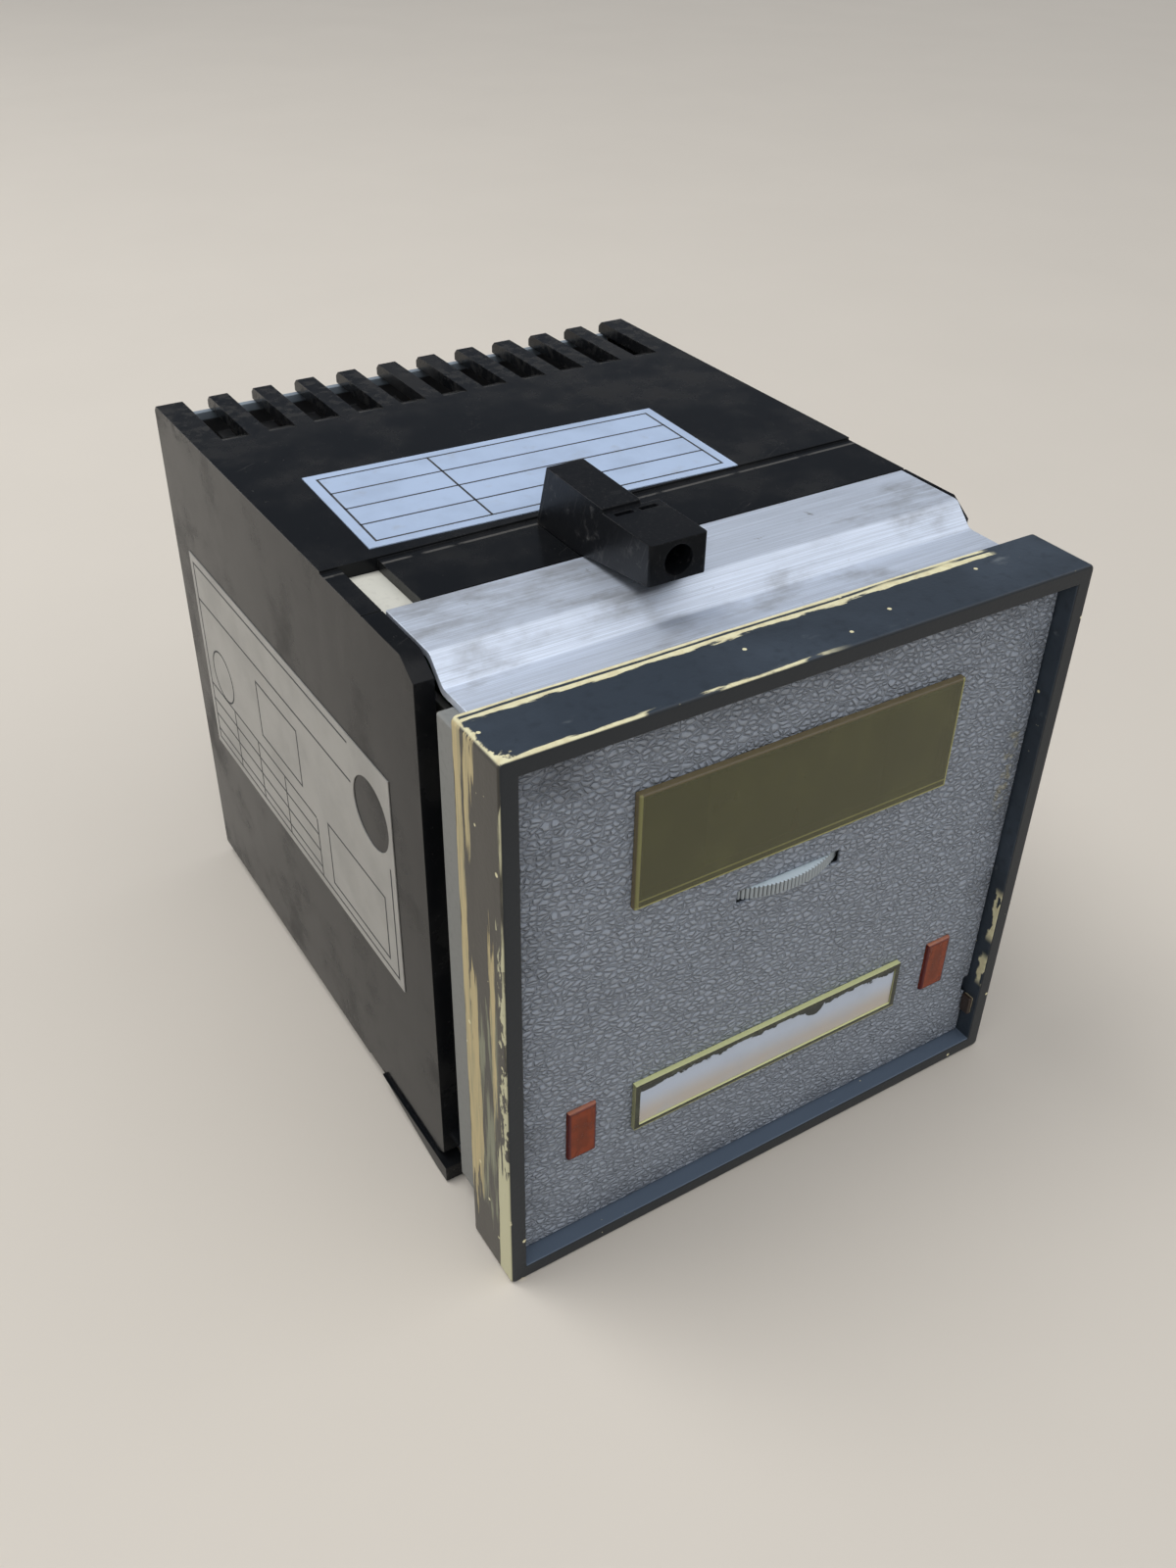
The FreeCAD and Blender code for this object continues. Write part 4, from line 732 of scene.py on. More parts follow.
def sleeve_moulding(settings, low, high):
    """Glossy black moulding with dusty patches, greasy patches, scratches, pale rubbed edges and a painted
    highlight along the deck's step.
    """
    finish = Finish("Sleeve moulding", settings.moulding, 0.3, specular=0.14)
    up = finish.facing("Z").ramp(0.5, 0.8)
    dusty = finish.noise(0.016, detail=7.0, roughness=0.62).ramp(0.42, 0.75)
    specks = finish.noise(0.0006, detail=2.0).ramp(0.72, 0.8)
    scratches = finish.streaks(0.00016, 0.012, "X", share=0.33, turn=(0, 0, 28), seed=0.11)
    more = finish.streaks(0.00016, 0.010, "Y", share=0.33, turn=(14, 0, 9), seed=0.52)
    scraped = finish.noise(0.007, detail=3.0, shift=(0.2, 0.6, 0)).ramp(0.5, 0.62) * (scratches | more)
    edge = finish.from_edges(low, high)
    rubbed = edge.ramp(0.0007, 0.0) * finish.noise(0.003).ramp(0.42, 0.6)
    step = low.y + settings.step_place
    # Painted highlight: a pale line along the deck's step, on its up-facing faces, for the light its edge
    # catches.
    step_highlight = (finish.span("Y", step - 0.0002, step + 0.00035, 0.0001) * up
             * finish.noise(0.004, detail=4.0).ramp(0.3, 0.5))
    comb = (finish.y.ramp(high.y - 0.024, high.y - 0.016) * finish.z.ramp(high.z - 0.003, high.z - 0.002)
            * finish.noise(0.002, detail=5.0, shift=(0, 0, 0.4)).ramp(0.42, 0.7))
    wall = abs(finish.facing("X")).ramp(0.5, 0.9)
    smeared = finish.noise(0.004, detail=6.0, stretch=(1, 1, 2.2), shift=(0.4, 0, 0))
    streaked = wall * smeared.ramp(0.45, 0.72)
    # Dust, specks, scrapes and rubbed edges, together with the painted highlight along the step.
    dust = (dusty * (0.05 * settings.wear * 2) | specks * 0.2 | scraped * 0.16 | rubbed * 0.2 | step_highlight * 0.4
            | comb * 0.09 | streaked * 0.04)
    finish.set("Base Color", finish.mix(dust, settings.moulding, settings.dust))
    finish.set("Roughness", (dusty | comb).level(0.16, 0.42))
    finish.bump(finish.noise(0.0009, detail=3.0), 0.000006)
    finish.bump(scraped, -0.000008)
    finish.bump(finish.noise(0.02, detail=2.0), 0.00008)
    return finish.done()


# ---------------------------------------------------------------- front panel
class PanelOperator(bpy.types.Operator):
    """Build the grained front panel and its retaining catch"""

    bl_idname = "controller.panel"
    bl_label = "Front panel"

    def execute(self, context):
        settings = context.scene.controller_panel
        low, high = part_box("front_panel")
        dressed("front_panel", "chassis", "panel_grain", panel_skin(settings, low, high), PANEL_EDGE)
        low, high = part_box("side_catch")
        dressed("side_catch", "chassis", "catch_black", catch_plastic(settings, low, high), CATCH_EDGE)
        return {"FINISHED"}


def panel_skin(settings, low, high):
    """Leather-grained skin: irregular pebbles with crowns painted paler and creases painted darker as highlight
    and shade, darker near the rim and at the upper left, the cut faces of its openings painted near black as
    shade, and a yellow stain.
    """
    finish = Finish("Panel skin", settings.skin, 0.5, specular=0.4)
    grain, depth = settings.grain, settings.grain_depth
    bent = finish.bent_place(grain * 1.5, grain * 0.8)
    pebbles = finish.cells(grain, source=bent, flat=True, stretch=(1.35, 0.8, 1.0), turn=(90, 14, 0))
    edges = finish.cells(grain, feature="DISTANCE_TO_EDGE", source=bent, flat=True,
                         stretch=(1.35, 0.8, 1.0), turn=(90, 14, 0))
    wrinkles = finish.cells(grain * 2.6, feature="DISTANCE_TO_EDGE", source=bent, flat=True,
                            stretch=(1.9, 0.75, 1.0), shift=(0.3, 0, 0.1), turn=(90, -8, 0))
    crown = pebbles.ramp(0.80, 0.12)
    fold = wrinkles.ramp(0.0, 0.07).level(0.3, 1.0)
    crease = edges.ramp(0.0, 0.2) * fold
    raised = crown.level(0.45, 1.0) * crease
    fine = finish.noise(grain * 0.3, detail=3.0)
    broad = finish.noise(0.012, detail=5.0, shift=(0.01, 0, 0.02))
    edge = finish.from_edges(low, high)
    near_rim = edge.ramp(0.008, 0.0) * finish.noise(0.007).ramp(0.36, 0.62)
    upper_left = (finish.x.ramp(low.x + 0.022, low.x) * finish.z.ramp(high.z - 0.026, high.z - 0.002)
                  * finish.noise(0.005, detail=5.0).ramp(0.32, 0.6))
    # Darker in broad patches, in a band near the rim and in the upper left corner.
    darker_patches = broad.ramp(0.5, 0.78) * 0.16 | near_rim * 0.4 | upper_left * 0.85
    stain = (finish.span("X", high.x - 0.0035, high.x - 0.0012, 0.0006, finish.sway(0.003, 0.001))
             * finish.span("Z", low.z + 0.050, low.z + 0.066, 0.003)
             * finish.noise(0.0012, detail=4.0).ramp(0.48, 0.62))
    # Painted shade and highlight: creases are painted darker and pebble crowns paler, as the grain's relief
    # would be lit from above.
    grained = finish.mix(raised.ramp(0.1, 0.6), tone(settings.skin, 0.76), tone(settings.skin, 1.03))
    specked = fine.ramp(0.5, 0.8) * 0.25
    grained = finish.mix(specked, grained, tone(settings.skin, 1.3))
    darkened = finish.mix(darker_patches, grained, tone(settings.skin, 0.32))
    # Painted shade: the cut faces of the panel's openings, behind its front face, are painted near black.
    cut = finish.y.ramp(low.y + 0.0003, low.y + 0.0006)
    darkened = finish.mix(cut, darkened, tone(settings.skin, 0.03))
    finish.set("Base Color", finish.mix(stain * 0.5, darkened, settings.stain))
    finish.set("Roughness", raised.level(0.65, 0.42))
    finish.bump(raised, depth)
    finish.bump(fine, depth * 0.12)
    finish.bump(finish.noise(grain * 3.5, detail=2.0), depth * 0.8)
    return finish.done()


def catch_plastic(settings, low, high):
    """Dark brown plastic that turns cream where it is worn against the rim."""
    finish = Finish("Catch plastic", settings.catch, 0.45)
    worn = finish.x.ramp((low.x + high.x) / 2, high.x)
    broken = worn * finish.noise(0.0008, detail=4.0).ramp(0.3, 0.5)
    finish.set("Base Color", finish.mix(broken, settings.catch, settings.catch_tip))
    finish.set("Roughness", broken.level(0.4, 0.7))
    finish.bump(finish.noise(0.0004), 0.00002)
    return finish.done()


# ---------------------------------------------------------------- window, mask and index
class WindowOperator(bpy.types.Operator):
    """Build the tinted window, the mask behind it and the red index"""

    bl_idname = "controller.window"
    bl_label = "Scale window"

    def execute(self, context):
        settings = context.scene.controller_window
        low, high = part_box("display_window")
        dressed("display_window", "chassis", "window_tint", window_tint(settings, low, high), settings.edge)
        mask = moulded("Mask dark", settings.mask, 0.6).done()
        dressed("scale_mask", "chassis", "mask_dark", mask, MASK_EDGE)
        index = moulded("Index red", settings.index, 0.5).done()
        dressed("red_index", "chassis", "index_red", index, INDEX_EDGE)
        return {"FINISHED"}


def window_tint(settings, low, high):
    """Olive acrylic: part clear, part hazy, with painted highlights along the cut edges below, at the right and
    faintly at the left, painted shade along the top edge, and scratches.
    """
    finish = Finish("Window tint", settings.tint, 0.12)
    front = finish.facing("Y").ramp(-0.3, -0.6)
    rim = settings.rim
    # Painted highlight along the lower, right and left cut edges, and painted shade along the top edge, as
    # light falls in from above left.
    second = finish.span("Z", low.z + rim * 2.2, low.z + rim * 2.7, rim * 0.2)
    lower = finish.z.ramp(low.z + rim, low.z + rim * 0.7) | second * 0.5
    right = finish.x.ramp(high.x - rim, high.x - rim * 0.7)
    dim = finish.z.ramp(high.z - rim * 0.7, high.z - rim * 0.4)
    left = finish.x.ramp(low.x + rim, low.x + rim * 0.7)
    bright = lower | right | left * 0.6
    haze = finish.noise(0.008, detail=5.0, stretch=(1.0, 1.0, 1.6))
    body = finish.mix(haze.ramp(0.4, 0.7), settings.tint, tone(settings.tint, 1.3))
    ghosts = (finish.noise(0.0016, detail=2.0, stretch=(1, 1, 1.6)).ramp(0.52, 0.62)
              * finish.span("Z", high.z - 0.009, high.z - 0.004, 0.0012)
              * finish.span("X", low.x + 0.010, low.x + 0.030, 0.003))
    body = finish.mix(ghosts * 0.12, body, tone(settings.edge_highlight, 0.6))
    side = finish.mix(finish.noise(0.002, detail=4.0), settings.side, tone(settings.side, 1.4))
    faced = finish.mix(dim, body, tone(settings.side, 0.8))
    faced = finish.mix(bright, faced, settings.edge_highlight)
    finish.set("Base Color", finish.mix(front, side, faced))
    finish.set("Transmission Weight", (bright | dim).level(1 - settings.haze, 0.1))
    finish.set("IOR", ACRYLIC_IOR)
    finish.set("Roughness", finish.noise(0.006, detail=4.0, shift=(0.3, 0, 0)).level(0.07, 0.2))
    finish.bump(finish.streaks(0.00012, 0.01, "X", share=0.33, turn=(0, 12, 0), seed=0.2), -0.000006)
    return finish.done()


# ---------------------------------------------------------------- setting wheel and scale
class WheelOperator(bpy.types.Operator):
    """Build the thumbwheel, the scale drum with its figures, and the spindle"""

    bl_idname = "controller.wheel"
    bl_label = "Setting wheel"

    def execute(self, context):
        settings = context.scene.controller_wheel
        mesh_of("thumbwheel_piece", node_bmesh("thumbwheel"), "setting_wheel", "wheel_grey",
                wheel_grey(settings), hides=("thumbwheel",))
        grey = moulded("Drum grey", settings.moulding, 0.5).done()
        dressed("scale_drum", "setting_wheel", "wheel_grey", grey, settings.edge)
        steel = sheet_metal("Spindle steel", (0.5, 0.5, 0.5)).done()
        dressed("setting_spindle", "setting_wheel", "steel", steel, settings.edge)
        self.print_scale(settings)
        return {"FINISHED"}

    def print_scale(self, settings):
        """Marks and figures printed round the drum."""
        low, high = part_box("scale_drum")
        middle = (low + high) / 2
        radius = (high.x - low.x) / 2
        bm = bmesh.new()
        for mark in range(settings.marks):
            tall = LONG_MARK if mark % 10 == 0 else MIDDLE_MARK if mark % 5 == 0 else SHORT_MARK
            verts = add_block(bm, (-MARK_WIDTH / 2, -PRINT_SUNK, 0), (MARK_WIDTH / 2, PRINT_PROUD, tall))
            self.wrap(verts, mark / settings.marks, middle, radius, middle.z + MARK_LEVEL)
        for figure in range(settings.marks // 10):
            for verts in figure_verts(bm, str(figure * 10), settings.figure):
                self.wrap(verts, figure * 10 / settings.marks, middle, radius, middle.z + FIGURE_LEVEL)
        ink = moulded("Scale ink", settings.ink, 0.6)
        mesh_of("scale_marks", bm, "setting_wheel", "mask_dark", ink.done())

    def wrap(self, verts, turn, middle, radius, level):
        """Moves flat print, drawn about the origin, on to the drum's face at a share of a turn."""
        for vert in verts:
            angle = turn * 2 * math.pi - math.pi / 2 + vert.co.x / radius
            reach = radius - vert.co.y
            place = (middle.x + reach * math.cos(angle), middle.y + reach * math.sin(angle), level + vert.co.z)
            vert.co = place


def wheel_grey(settings):
    """Pale blue-grey moulding, paler on its flat faces, with the tread painted darker and its grooves painted
    near black as shade.
    """
    low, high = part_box("thumbwheel")
    finish = moulded("Wheel grey", settings.moulding, 0.4, drift=0.3)
    face = finish.colour()
    outside = (high.x - low.x) / 2
    reach = finish.around((low + high) / 2)
    # Painted shade: the tread is painted darker, and near black a little below its tips, for the shade in the
    # slot and in its grooves.
    flank = abs(finish.facing("Z")).ramp(0.6, 0.3)
    rim = finish.mix(reach.ramp(outside - 0.00028, outside - 0.00004), tone(settings.moulding, 0.08),
                     tone(settings.moulding, 0.62))
    finish.set("Base Color", finish.mix(flank, finish.mix(0.7, face, (0.80, 0.93, 1.0)), rim))
    return finish.done()


def figure_verts(bm, text, height):
    """Adds a number as flat, slightly raised print about the origin, and yields its vertices."""
    curve = bpy.data.curves.new("figure", "FONT")
    curve.body = text
    curve.align_x = "CENTER"
    curve.size = height * 1.4
    curve.extrude = 0.00001
    curve.resolution_u = 3
    holder = bpy.data.objects.new("figure", curve)
    flat = bpy.data.meshes.new_from_object(holder)
    bpy.data.objects.remove(holder)
    flat.transform(Matrix.Rotation(math.pi / 2, 4, "X"))
    start = len(bm.verts)
    bm.from_mesh(flat)
    bpy.data.meshes.remove(flat)
    bm.verts.ensure_lookup_table()
    yield bm.verts[start:]


# ---------------------------------------------------------------- indicators
class LensOperator(bpy.types.Operator):
    """Build the orange indicator lenses and the lamps behind them"""

    bl_idname = "controller.lenses"
    bl_label = "Indicators"

    def execute(self, context):
        settings = context.scene.controller_lens
        for side in ("left", "right"):
            low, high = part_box(f"indicator_{side}")
            dressed(f"indicator_{side}", "chassis", "indicator_orange",
                    lens_plastic(settings, side, low, high), settings.edge)
            dressed(f"lamp_{side}", "chassis", "lamp_glass", lamp_glass(side), LAMP_EDGE)
        return {"FINISHED"}


def lens_plastic(settings, side, low, high):
    """Translucent orange with a deep red rim, a top face painted paler as a highlight, and the lamp's shape
    showing through.
    """
    finish = Finish(f"Indicator orange {side}", settings.orange, 0.22, specular=0.3)
    flange = settings.flange
    inner_low = low + Vector((flange, 0, flange))
    inner_high = high - Vector((flange, 0, flange))
    edge = finish.from_edges(inner_low, inner_high)
    rim = edge.ramp(0.0006, 0.00035)
    middle = (low.x + high.x) / 2
    core = (finish.span("X", middle - 0.0009, middle + 0.0009, 0.0003)
            * finish.span("Z", low.z + 0.0022, high.z - 0.0022, 0.0004))
    ribs = finish.noise(0.0012, detail=3.0, stretch=(1.0, 1.0, 2.0))
    field = finish.mix(ribs.ramp(0.4, 0.65), settings.orange, tone(settings.orange, 0.7))
    field = finish.mix(core * 0.45, field, tone(settings.orange, 0.5))
    # Painted highlight: up-facing faces are painted paler, as lit from above.
    up = finish.facing("Z").ramp(0.4, 0.7)
    faced = finish.mix(rim, field, settings.rim)
    finish.set("Base Color", finish.mix(up, faced, blended(settings.orange, (0.8, 0.42, 0.3), 0.45)))
    finish.set("Transmission Weight", 0.15)
    finish.set("Subsurface Weight", 0.3)
    finish.set("Subsurface Radius", (0.002, 0.0007, 0.0003))
    finish.set("Roughness", ribs.level(0.15, 0.35))
    finish.bump(finish.noise(0.0016, detail=2.0), 0.00003)
    return finish.done()


def lamp_glass(side):
    """Clear glass with a smoky patch where the lamp has aged."""
    finish = Finish(f"Lamp glass {side}", (0.8, 0.78, 0.72), 0.06)
    smoke = finish.noise(0.004, detail=3.0).ramp(0.45, 0.7)
    finish.set("Base Color", finish.mix(smoke, (0.85, 0.83, 0.78), (0.4, 0.36, 0.3)))
    finish.set("Transmission Weight", 0.85)
    finish.set("Roughness", smoke.level(0.03, 0.2))
    finish.bump(finish.noise(0.002), 0.00002)
    return finish.done()


# ---------------------------------------------------------------- badge
class BadgeOperator(bpy.types.Operator):
    """Build the clear badge bar and its plain flaked foil"""

    bl_idname = "controller.badge"
    bl_label = "Badge bar"

    def execute(self, context):
        settings = context.scene.controller_badge
        low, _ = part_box("badge_bar")
        dressed("badge_bar", "chassis", "badge_clear", badge_bar(settings, low), settings.edge)
        low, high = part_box("badge_foil")
        dressed("badge_foil", "chassis", "foil_silver", badge_foil(settings, low, high), FOIL_EDGE)
        return {"FINISHED"}


def badge_bar(settings, low):
    """Clear bar: yellow-green sides painted as the light they gather, a top side painted paler as a highlight,
    and a dark line round its front.
    """
    finish = Finish("Badge bar", settings.bar, 0.2)
    # Painted highlight: the sides are painted yellow-green and the up-facing top side paler, for the light a
    # clear bar gathers.
    up = finish.facing("Z").ramp(0.4, 0.7)
    front = finish.facing("Y").ramp(-0.4, -0.7) * finish.z.ramp(low.z + 0.0002, low.z + 0.0004)
    patches = finish.noise(0.003, detail=5.0).ramp(0.45, 0.65)
    side = finish.mix(patches * 0.4, settings.bar, tone(settings.bar, 0.6))
    top_highlighted = finish.mix(up, side, settings.bar_top_highlight)
    dark = finish.mix(patches, settings.line, tone(settings.line, 1.8))
    finish.set("Base Color", finish.mix(front, top_highlighted, dark))
    finish.set("Roughness", patches.level(0.15, 0.4))
    finish.bump(finish.noise(0.0008), 0.00002)
    return finish.done()


def badge_foil(settings, low, high):
    """Silver foil with a painted reflection, cool above for the sky and warm below for the floor, with a flaked
    top edge and one dark chip.
    """
    finish = Finish("Badge foil", settings.foil, 0.3, metallic=0.2)
    height = high.z - finish.z
    ragged = finish.noise(0.0026, detail=6.0, roughness=0.6).ramp(0.35, 0.7) * 0.0011
    gone = (height - ragged).ramp(0.0001, -0.0001)
    across = finish.x - (low.x + (high.x - low.x) * settings.chip_place)
    away = finish.calc("SQRT", abs(across) ** 2.0 + height ** 2.0)
    chip = (away + finish.sway(0.0012, 0.0003)).ramp(0.0021, 0.0019)
    bare = gone | chip
    sheen = finish.noise(0.009, detail=4.0, shift=(0.2, 0, 0.1))
    # Painted reflection: warm below for the floor, cool above for the sky.
    reflection_rise = finish.z.ramp(low.z + 0.001, high.z - 0.002)
    foil = finish.mix(reflection_rise, settings.foil_floor_reflection, settings.foil)
    foil = finish.mix(sheen.ramp(0.4, 0.7) * 0.4, foil, tone(settings.foil, 0.8))
    finish.set("Base Color", finish.mix(bare, foil, settings.backing))
    finish.set("Roughness", bare.level(0.25, 0.5))
    finish.bump(bare, -0.00005)
    finish.bump(sheen, 0.00015)
    return finish.done()


# ---------------------------------------------------------------- mounting clamp
class ClampOperator(bpy.types.Operator):
    """Build the moulded mounting clamp"""

    bl_idname = "controller.clamp"
    bl_label = "Mounting clamp"

    def execute(self, context):
        settings = context.scene.controller_clamp
        low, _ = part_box("mounting_clamp")
        moulding = clamp_moulding(settings, low)
        for node in ("mounting_clamp", "clamp_hook"):
            dressed(node, "clamp", "clamp_black", moulding, settings.edge)
        return {"FINISHED"}


def clamp_moulding(settings, low):
    """Black moulding with scuffs down its sides and rubbed edges."""
    finish = Finish("Clamp moulding", settings.moulding, 0.36, specular=0.15)
    scuffs = finish.streaks(0.0004, 0.008, "Z", share=0.4, seed=0.4, turn=(20, 0, 0))
    smears = finish.noise(0.0035, detail=6.0, roughness=0.65).ramp(0.55, 0.75)
    side = finish.x.ramp(low.x + 0.0006, low.x)
    marks = smears * side.level(0.05, 0.5) | scuffs * 0.12
    finish.set("Base Color", finish.mix(marks, settings.moulding, settings.scuff))
    finish.set("Roughness", marks.level(0.32, 0.65))
    finish.bump(smears, -0.00002)
    finish.bump(finish.noise(0.0006), 0.00001)
    return finish.done()


# ---------------------------------------------------------------- labels
class LabelOperator(bpy.types.Operator):
    """Build the two foil labels and the plain rules printed on them"""

    bl_idname = "controller.labels"
    bl_label = "Labels"

    def execute(self, context):
        settings = context.scene.controller_label
        # Painted reflection and shade: the same foil is blue-white on the deck for the sky and darker warm
        # white on the side for shade and the floor.
        for node, base in (("top_label", settings.foil), ("side_label", settings.paper)):
            foil = label_foil(node, base)
            mesh_of(f"{node}_piece", node_bmesh(node), "sleeve", "label_silver", foil, hides=(node,))
        ink = moulded("Label print", settings.print_colour, 0.6).done()
        self.rule_top(settings, ink)
        self.rule_side(settings, ink)
        return {"FINISHED"}

    def rule_top(self, settings, ink):
        """A border and a few plain rules on the deck's label, turned with it."""
        low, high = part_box("top_label")
        corners = [vert.co.copy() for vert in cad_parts["top_label"].data.vertices]
        left = min(corners, key=lambda place: place.x)
        front = min(corners, key=lambda place: place.y)
        right = max(corners, key=lambda place: place.x)
        along = max((front - left).xy, (right - front).xy, key=lambda side: side.length)
        angle = math.atan2(along.y, along.x)
        bm = bmesh.new()
        width, depth, inset = TOP_LABEL_WIDTH, TOP_LABEL_DEPTH, TOP_LABEL_INSET
        line = settings.line
        border(bm, -width / 2 + inset, -depth / 2 + inset, width / 2 - inset, depth / 2 - inset, line)
        for row in (0.25, 0.5, 0.75):
            level = -depth / 2 + inset + row * (depth - 2 * inset)
            flat_bar(bm, -width / 2 + inset, level - line / 2, width / 2 - inset, level + line / 2)
        flat_bar(bm, -width * 0.18, -depth / 2 + inset, -width * 0.18 + line, depth / 2 - inset)
        bmesh.ops.scale(bm, vec=(1, 1, settings.print_height), verts=bm.verts)
        bmesh.ops.rotate(bm, cent=(0, 0, 0), matrix=Matrix.Rotation(angle, 3, "Z"), verts=bm.verts)
        middle = (low + high) / 2
        bmesh.ops.translate(bm, vec=(middle.x, middle.y, high.z), verts=bm.verts)
        mesh_of("top_label_print", bm, "sleeve", "mask_dark", ink)

    def rule_side(self, settings, ink):
        """A border that stops at the hole, an empty table, a box and a ring on the side label."""
        low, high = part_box("side_label")
        bm = bmesh.new()
        line, inset = settings.line, settings.inset
        width, height = high.y - low.y, high.z - low.z
        right, top = width - inset, height - inset
        clear_right = width - settings.hole_place - settings.hole_reach
        clear_low = height - settings.hole_drop - settings.hole_reach
        flat_bar(bm, inset, inset, right, inset + line)
        flat_bar(bm, inset, top - line, clear_right, top)
        flat_bar(bm, inset, inset + line, inset + line, top - line)
        flat_bar(bm, right - line, inset + line, right, clear_low)
        rows, row_height, last = 4, 0.0034, width * 0.62
        for row in range(1, rows + 1):
            flat_bar(bm, inset, row * row_height, last, row * row_height + line)
        for column in (0.16, 0.3, 0.45, 0.62):
            flat_bar(bm, width * column, inset, width * column + line, rows * row_height)
        flat_bar(bm, inset, height * 0.78, clear_right, height * 0.78 + line)
        border(bm, width * 0.34, height * 0.42, width * 0.56, height * 0.70, line)
        border(bm, width * 0.68, inset + 0.002, right - 0.003, height * 0.40, line)
        ring(bm, high.y - settings.ring_place, settings.ring_height - low.z, settings.ring_radius, line)
        bmesh.ops.scale(bm, vec=(1, 1, settings.print_height), verts=bm.verts)
        turn = Matrix(((0, 0, -1), (-1, 0, 0), (0, 1, 0)))
        bmesh.ops.rotate(bm, cent=(0, 0, 0), matrix=turn, verts=bm.verts)
        bmesh.ops.translate(bm, vec=(low.x, high.y, low.z), verts=bm.verts)
        mesh_of("side_label_print", bm, "sleeve", "mask_dark", ink)


def ring(bm, across, up, radius, line):
    """A ring of print one unit thick, lying in the XY plane."""
    corners = [(radius, 0), (radius + line, 0), (radius + line, 1), (radius, 1)]
    verts = [bm.verts.new((across + reach, up, level)) for reach, level in corners]
    face = bm.faces.new(verts)
    result = bmesh.ops.spin(bm, geom=[face] + list(face.edges) + verts, cent=(across, up, 0), axis=(0, 0, 1),
                            angle=2 * math.pi, steps=40, use_merge=True, use_duplicate=False)
    inside = [item for item in result["geom_last"] if isinstance(item, bmesh.types.BMFace)]
    bmesh.ops.delete(bm, geom=list({face, *inside}), context="FACES_ONLY")


def flat_bar(bm, left, low, right, high):
    """A bar of print one unit thick, lying in the XY plane."""
    add_block(bm, (left, low, 0), (right, high, 1))


def border(bm, left, low, right, high, line):
    flat_bar(bm, left, low, right, low + line)
    flat_bar(bm, left, high - line, right, high)
    flat_bar(bm, left, low + line, left + line, high - line)
    flat_bar(bm, right - line, low + line, right, high - line)


def label_foil(name, base):
    """Silver-white foil with soft creases, smudges and a slightly dulled patch."""
    finish = Finish(f"Label foil {name}", base, 0.3, metallic=0.1)
    cloud = finish.noise(0.012, detail=5.0)
    smudge = finish.noise(0.004, detail=6.0, shift=(0.1, 0.2, 0)).ramp(0.56, 0.75)
    foil = finish.mix(cloud.ramp(0.4, 0.7), base, tone(base, 0.86))
    dulled = blended(base, (0.3, 0.28, 0.24), 0.7)
    finish.set("Base Color", finish.mix(smudge * 0.35, foil, dulled))
    finish.set("Roughness", cloud.level(0.25, 0.45))
    finish.bump(finish.noise(0.006, detail=3.0, shift=(0.5, 0, 0)), 0.00008)
    finish.bump(finish.streaks(0.0001, 0.008, "Y", share=0.33), -0.00001)
    return finish.done()


# ---------------------------------------------------------------- terminals, guides and skids
class TerminalOperator(bpy.types.Operator):
    """Build the terminal blocks, brass terminals, slotted screws, card guides and skids"""

    bl_idname = "controller.terminals"
    bl_label = "Terminals and guides"

    def execute(self, context):
        settings = context.scene.controller_terminal
        top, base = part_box("terminal_block_upper")[1].z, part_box("terminal_block_lower")[0].z
        block = block_moulding(settings, top, base)
        brass = sheet_metal("Terminal brass", settings.brass, 0.3, "Y").done()
        steel = sheet_metal("Screw steel", settings.screw, 0.28, "X").done()
        for side in ("upper", "lower"):
            dressed(f"terminal_block_{side}", "sleeve", "block_bluegrey", block, settings.edge)
            dressed(f"terminals_{side}", "sleeve", "brass", brass, settings.edge)
            self.slotted_screws(f"terminal_screws_{side}", steel)
        for side in ("left", "right"):
            dressed(f"edge_connector_{side}", "sleeve", "block_bluegrey", block, settings.edge)
        guide = moulded("Guide cream", settings.guide, 0.5, drift=0.2).done()
        for node in ("card_guide_left", "card_guide_right", "skid_left", "skid_right"):
            dressed(node, "sleeve", "guide_cream", guide, settings.edge)
        return {"FINISHED"}

    def slotted_screws(self, node, steel):
        """Cheese-head screws with a driver slot, one over each terminal."""
        low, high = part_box(node)
        count = round((high.x - low.x) / TERMINAL_PITCH) + 1
        radius = (high.z - low.z) / 2
        depth = high.y - low.y
        bm = bmesh.new()
        for screw in range(count):
            middle = (low + high) / 2
            middle.x += (screw - (count - 1) / 2) * TERMINAL_PITCH
            slot = radius * 0.2
            angle = screw * SCREW_TURN
            for side in (-1, 1):
                made = bmesh.ops.create_cone(bm, cap_ends=True, cap_tris=False, segments=28, radius1=radius,
                                             radius2=radius, depth=depth)
                verts = made["verts"]
                region = verts + list({edge for vert in verts for edge in vert.link_edges})
                region += list({face for vert in verts for face in vert.link_faces})
                result = bmesh.ops.bisect_plane(bm, geom=region, plane_co=(0, side * slot, 0),
                                                plane_no=(0, -side, 0), clear_outer=True)
                cut = [item for item in result["geom_cut"] if isinstance(item, bmesh.types.BMEdge)]
                bmesh.ops.holes_fill(bm, edges=cut, sides=0)
                faces = [item for item in result["geom"]
                         if isinstance(item, bmesh.types.BMFace) and item.is_valid]
                kept = list({vert for item in faces + cut for vert in item.verts})
                bmesh.ops.rotate(bm, cent=(0, 0, 0), matrix=Matrix.Rotation(angle, 3, "Z"), verts=kept)
                bmesh.ops.rotate(bm, cent=(0, 0, 0), matrix=Matrix.Rotation(-math.pi / 2, 3, "X"), verts=kept)
                bmesh.ops.translate(bm, vec=middle, verts=kept)
            floor = add_rod(bm, radius, depth * 0.5, (middle.x, low.y + depth * 0.25, middle.z), "Y", sides=28)
            bmesh.ops.scale(bm, vec=(0.98, 1, 0.98), space=Matrix.Translation(-middle), verts=floor)
        mesh_of(f"{node}_piece", bm, "sleeve", "steel", steel, hides=(node,))


